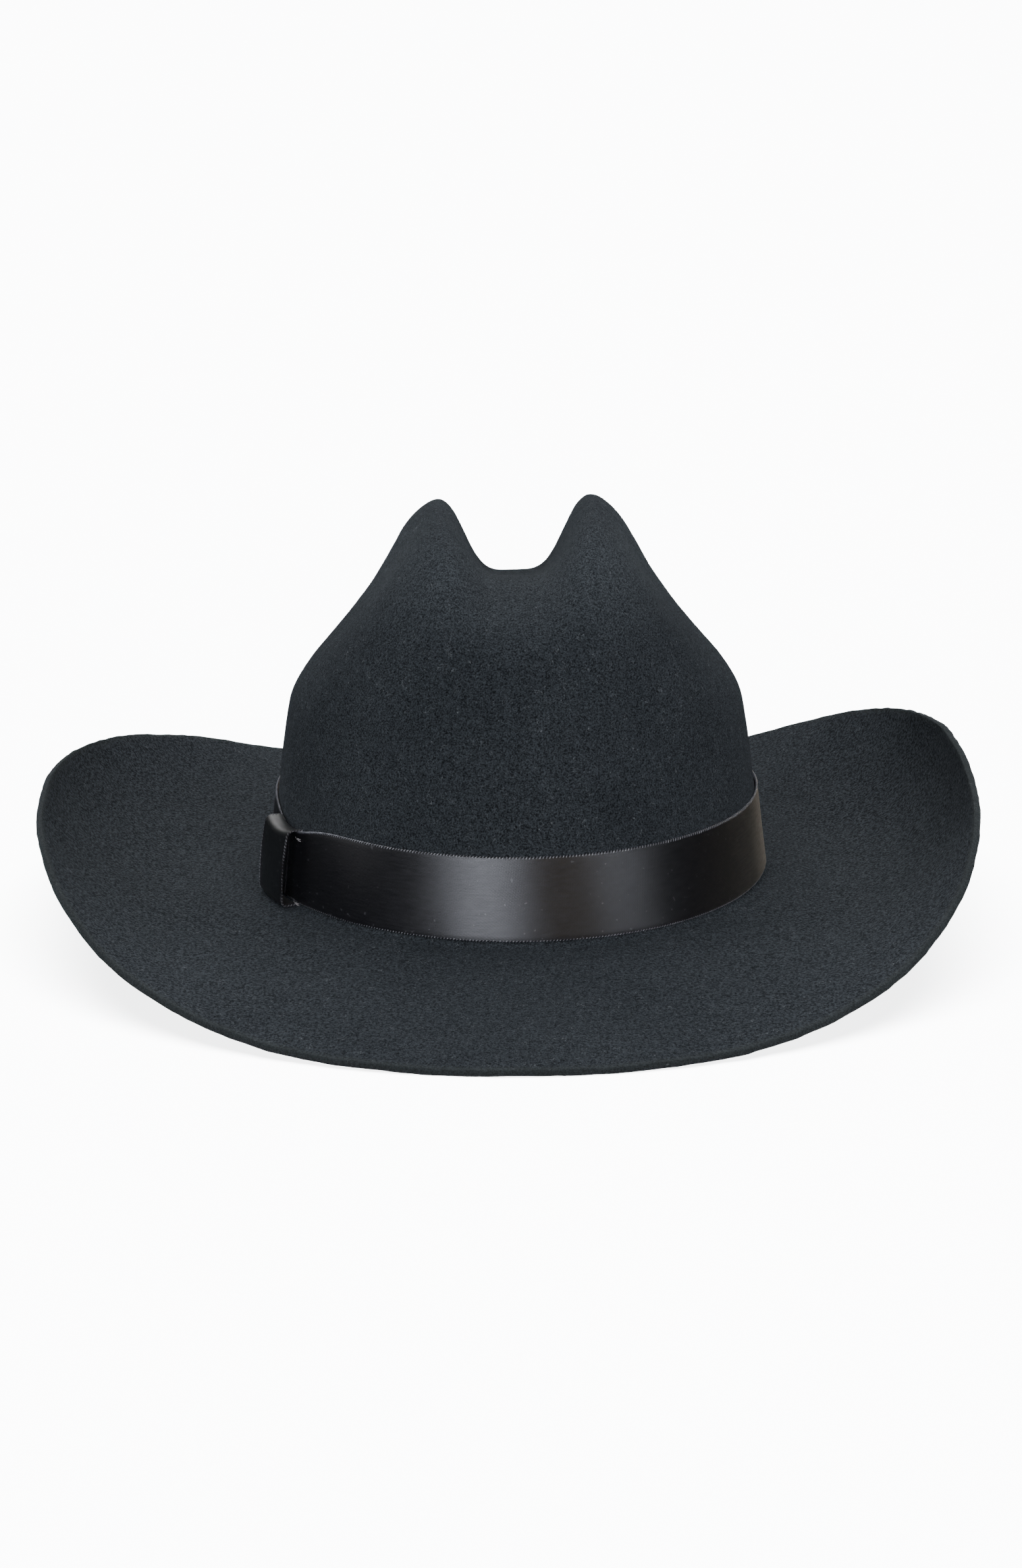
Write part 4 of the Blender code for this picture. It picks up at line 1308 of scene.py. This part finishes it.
def studio(felt, satin):
    """Floor, backdrop and lights. The felt, the satin and the floor have lamps of their own, and
    the felt doesn't shade the satin's soft lamps."""
    material = plain_look("studio_floor", FLOOR_COLOUR).material
    floor = staged("floor", material, bmesh.ops.create_circle, cap_ends=True, segments=96)
    ball = {"build": bmesh.ops.create_uvsphere, "u_segments": 48, "v_segments": 24}
    staged("backdrop", glow_look(), shades=False, **ball)
    room_light()

    floor_only = only("floor_only", [floor])
    for name, share in (("floor_light", 1.0 - FLOOR_SHADOW), ("floor_shadow_light", FLOOR_SHADOW)):
        sun = lamp(name, "SUN", FLOOR_LIGHT * share, angle=math.radians(TOP_LIGHT_ANGLE))
        sun.light_linking.receiver_collection = floor_only
        if name == "floor_light":
            sun.light_linking.blocker_collection = floor_only
    lit = {"satin_only": only("satin_only", satin), "felt_only": only("felt_only", felt)}
    for group, strength in (("felt_only", TOP_LIGHT), ("satin_only", SATIN_TOP_LIGHT)):
        top = lamp("top_light_" + group, "SUN", strength, angle=math.radians(TOP_LIGHT_ANGLE))
        top.rotation_euler = [math.radians(tilt) for tilt in (*TOP_LIGHT_TILT, 0.0)]
        top.light_linking.receiver_collection = lit[group]
    for name, (*place, distance, width, height, power, colour, group) in SOFT_LAMPS.items():
        soft = lamp(name, "AREA", power, colour, shape="RECTANGLE", size=width, size_y=height)
        direction = towards(*place)
        soft.location = Vector(BREAK) + direction * distance
        soft.rotation_euler = (-direction).to_track_quat("-Z", "Y").to_euler()
        soft.light_linking.receiver_collection = lit[group]
        if group == "satin_only":
            soft.light_linking.blocker_collection = lit[group]


def camera():
    data = bpy.data.cameras.new("camera")
    data.lens = CAMERA_LENS
    data.sensor_width = 36.0
    data.shift_x, data.shift_y = CAMERA_SHIFT
    data.clip_end = 100.0
    back = towards(CAMERA_AZIMUTH, CAMERA_ELEVATION)
    made = bpy.data.objects.new("camera", data)
    made.location = Vector(BREAK) + Vector((0.0, 0.0, CAMERA_AIM)) + back * CAMERA_DISTANCE
    roll = Quaternion((0.0, 0.0, 1.0), math.radians(CAMERA_ROLL))
    made.rotation_euler = ((-back).to_track_quat("-Z", "Y") @ roll).to_euler()
    bpy.context.scene.collection.objects.link(made)
    bpy.context.scene.camera = made


ALL_LOOKS = (
    felt_look(),
    fibre_look(),
    ribbon_look(),
    edge_thread_look(),
    thread_look("tack_thread", (0.045, 0.042, 0.040), (0.16, 0.15, 0.145)),
    leather_look(),
    reed_look(),
    woven_look("woven_tape", (0.012, 0.012, 0.013), (0.050, 0.050, 0.053), 0.55 * MM),
    thread_look("seam_thread", (0.030, 0.027, 0.024), (0.16, 0.145, 0.13)),
    woven_look("label_weave", (0.40, 0.38, 0.34), (0.66, 0.64, 0.59), 0.30 * MM, 0.7),
    liner_look(),
    film_look(),
)
LOOKS = {look.name: look for look in ALL_LOOKS}

camera()
BODY, OUTER, NORMALS = felt_body()
FELT_PIECES = [BODY, felt_fibres(OUTER, NORMALS)]
SATIN_PIECES = hatband() + keeper() + [tack("keeper_tack_upper"), tack("keeper_tack_lower")]
studio(FELT_PIECES, SATIN_PIECES)
sweatband()
sweatband_joint()
size_label()
sweatband_bow()
liner_side()
liner_tip()
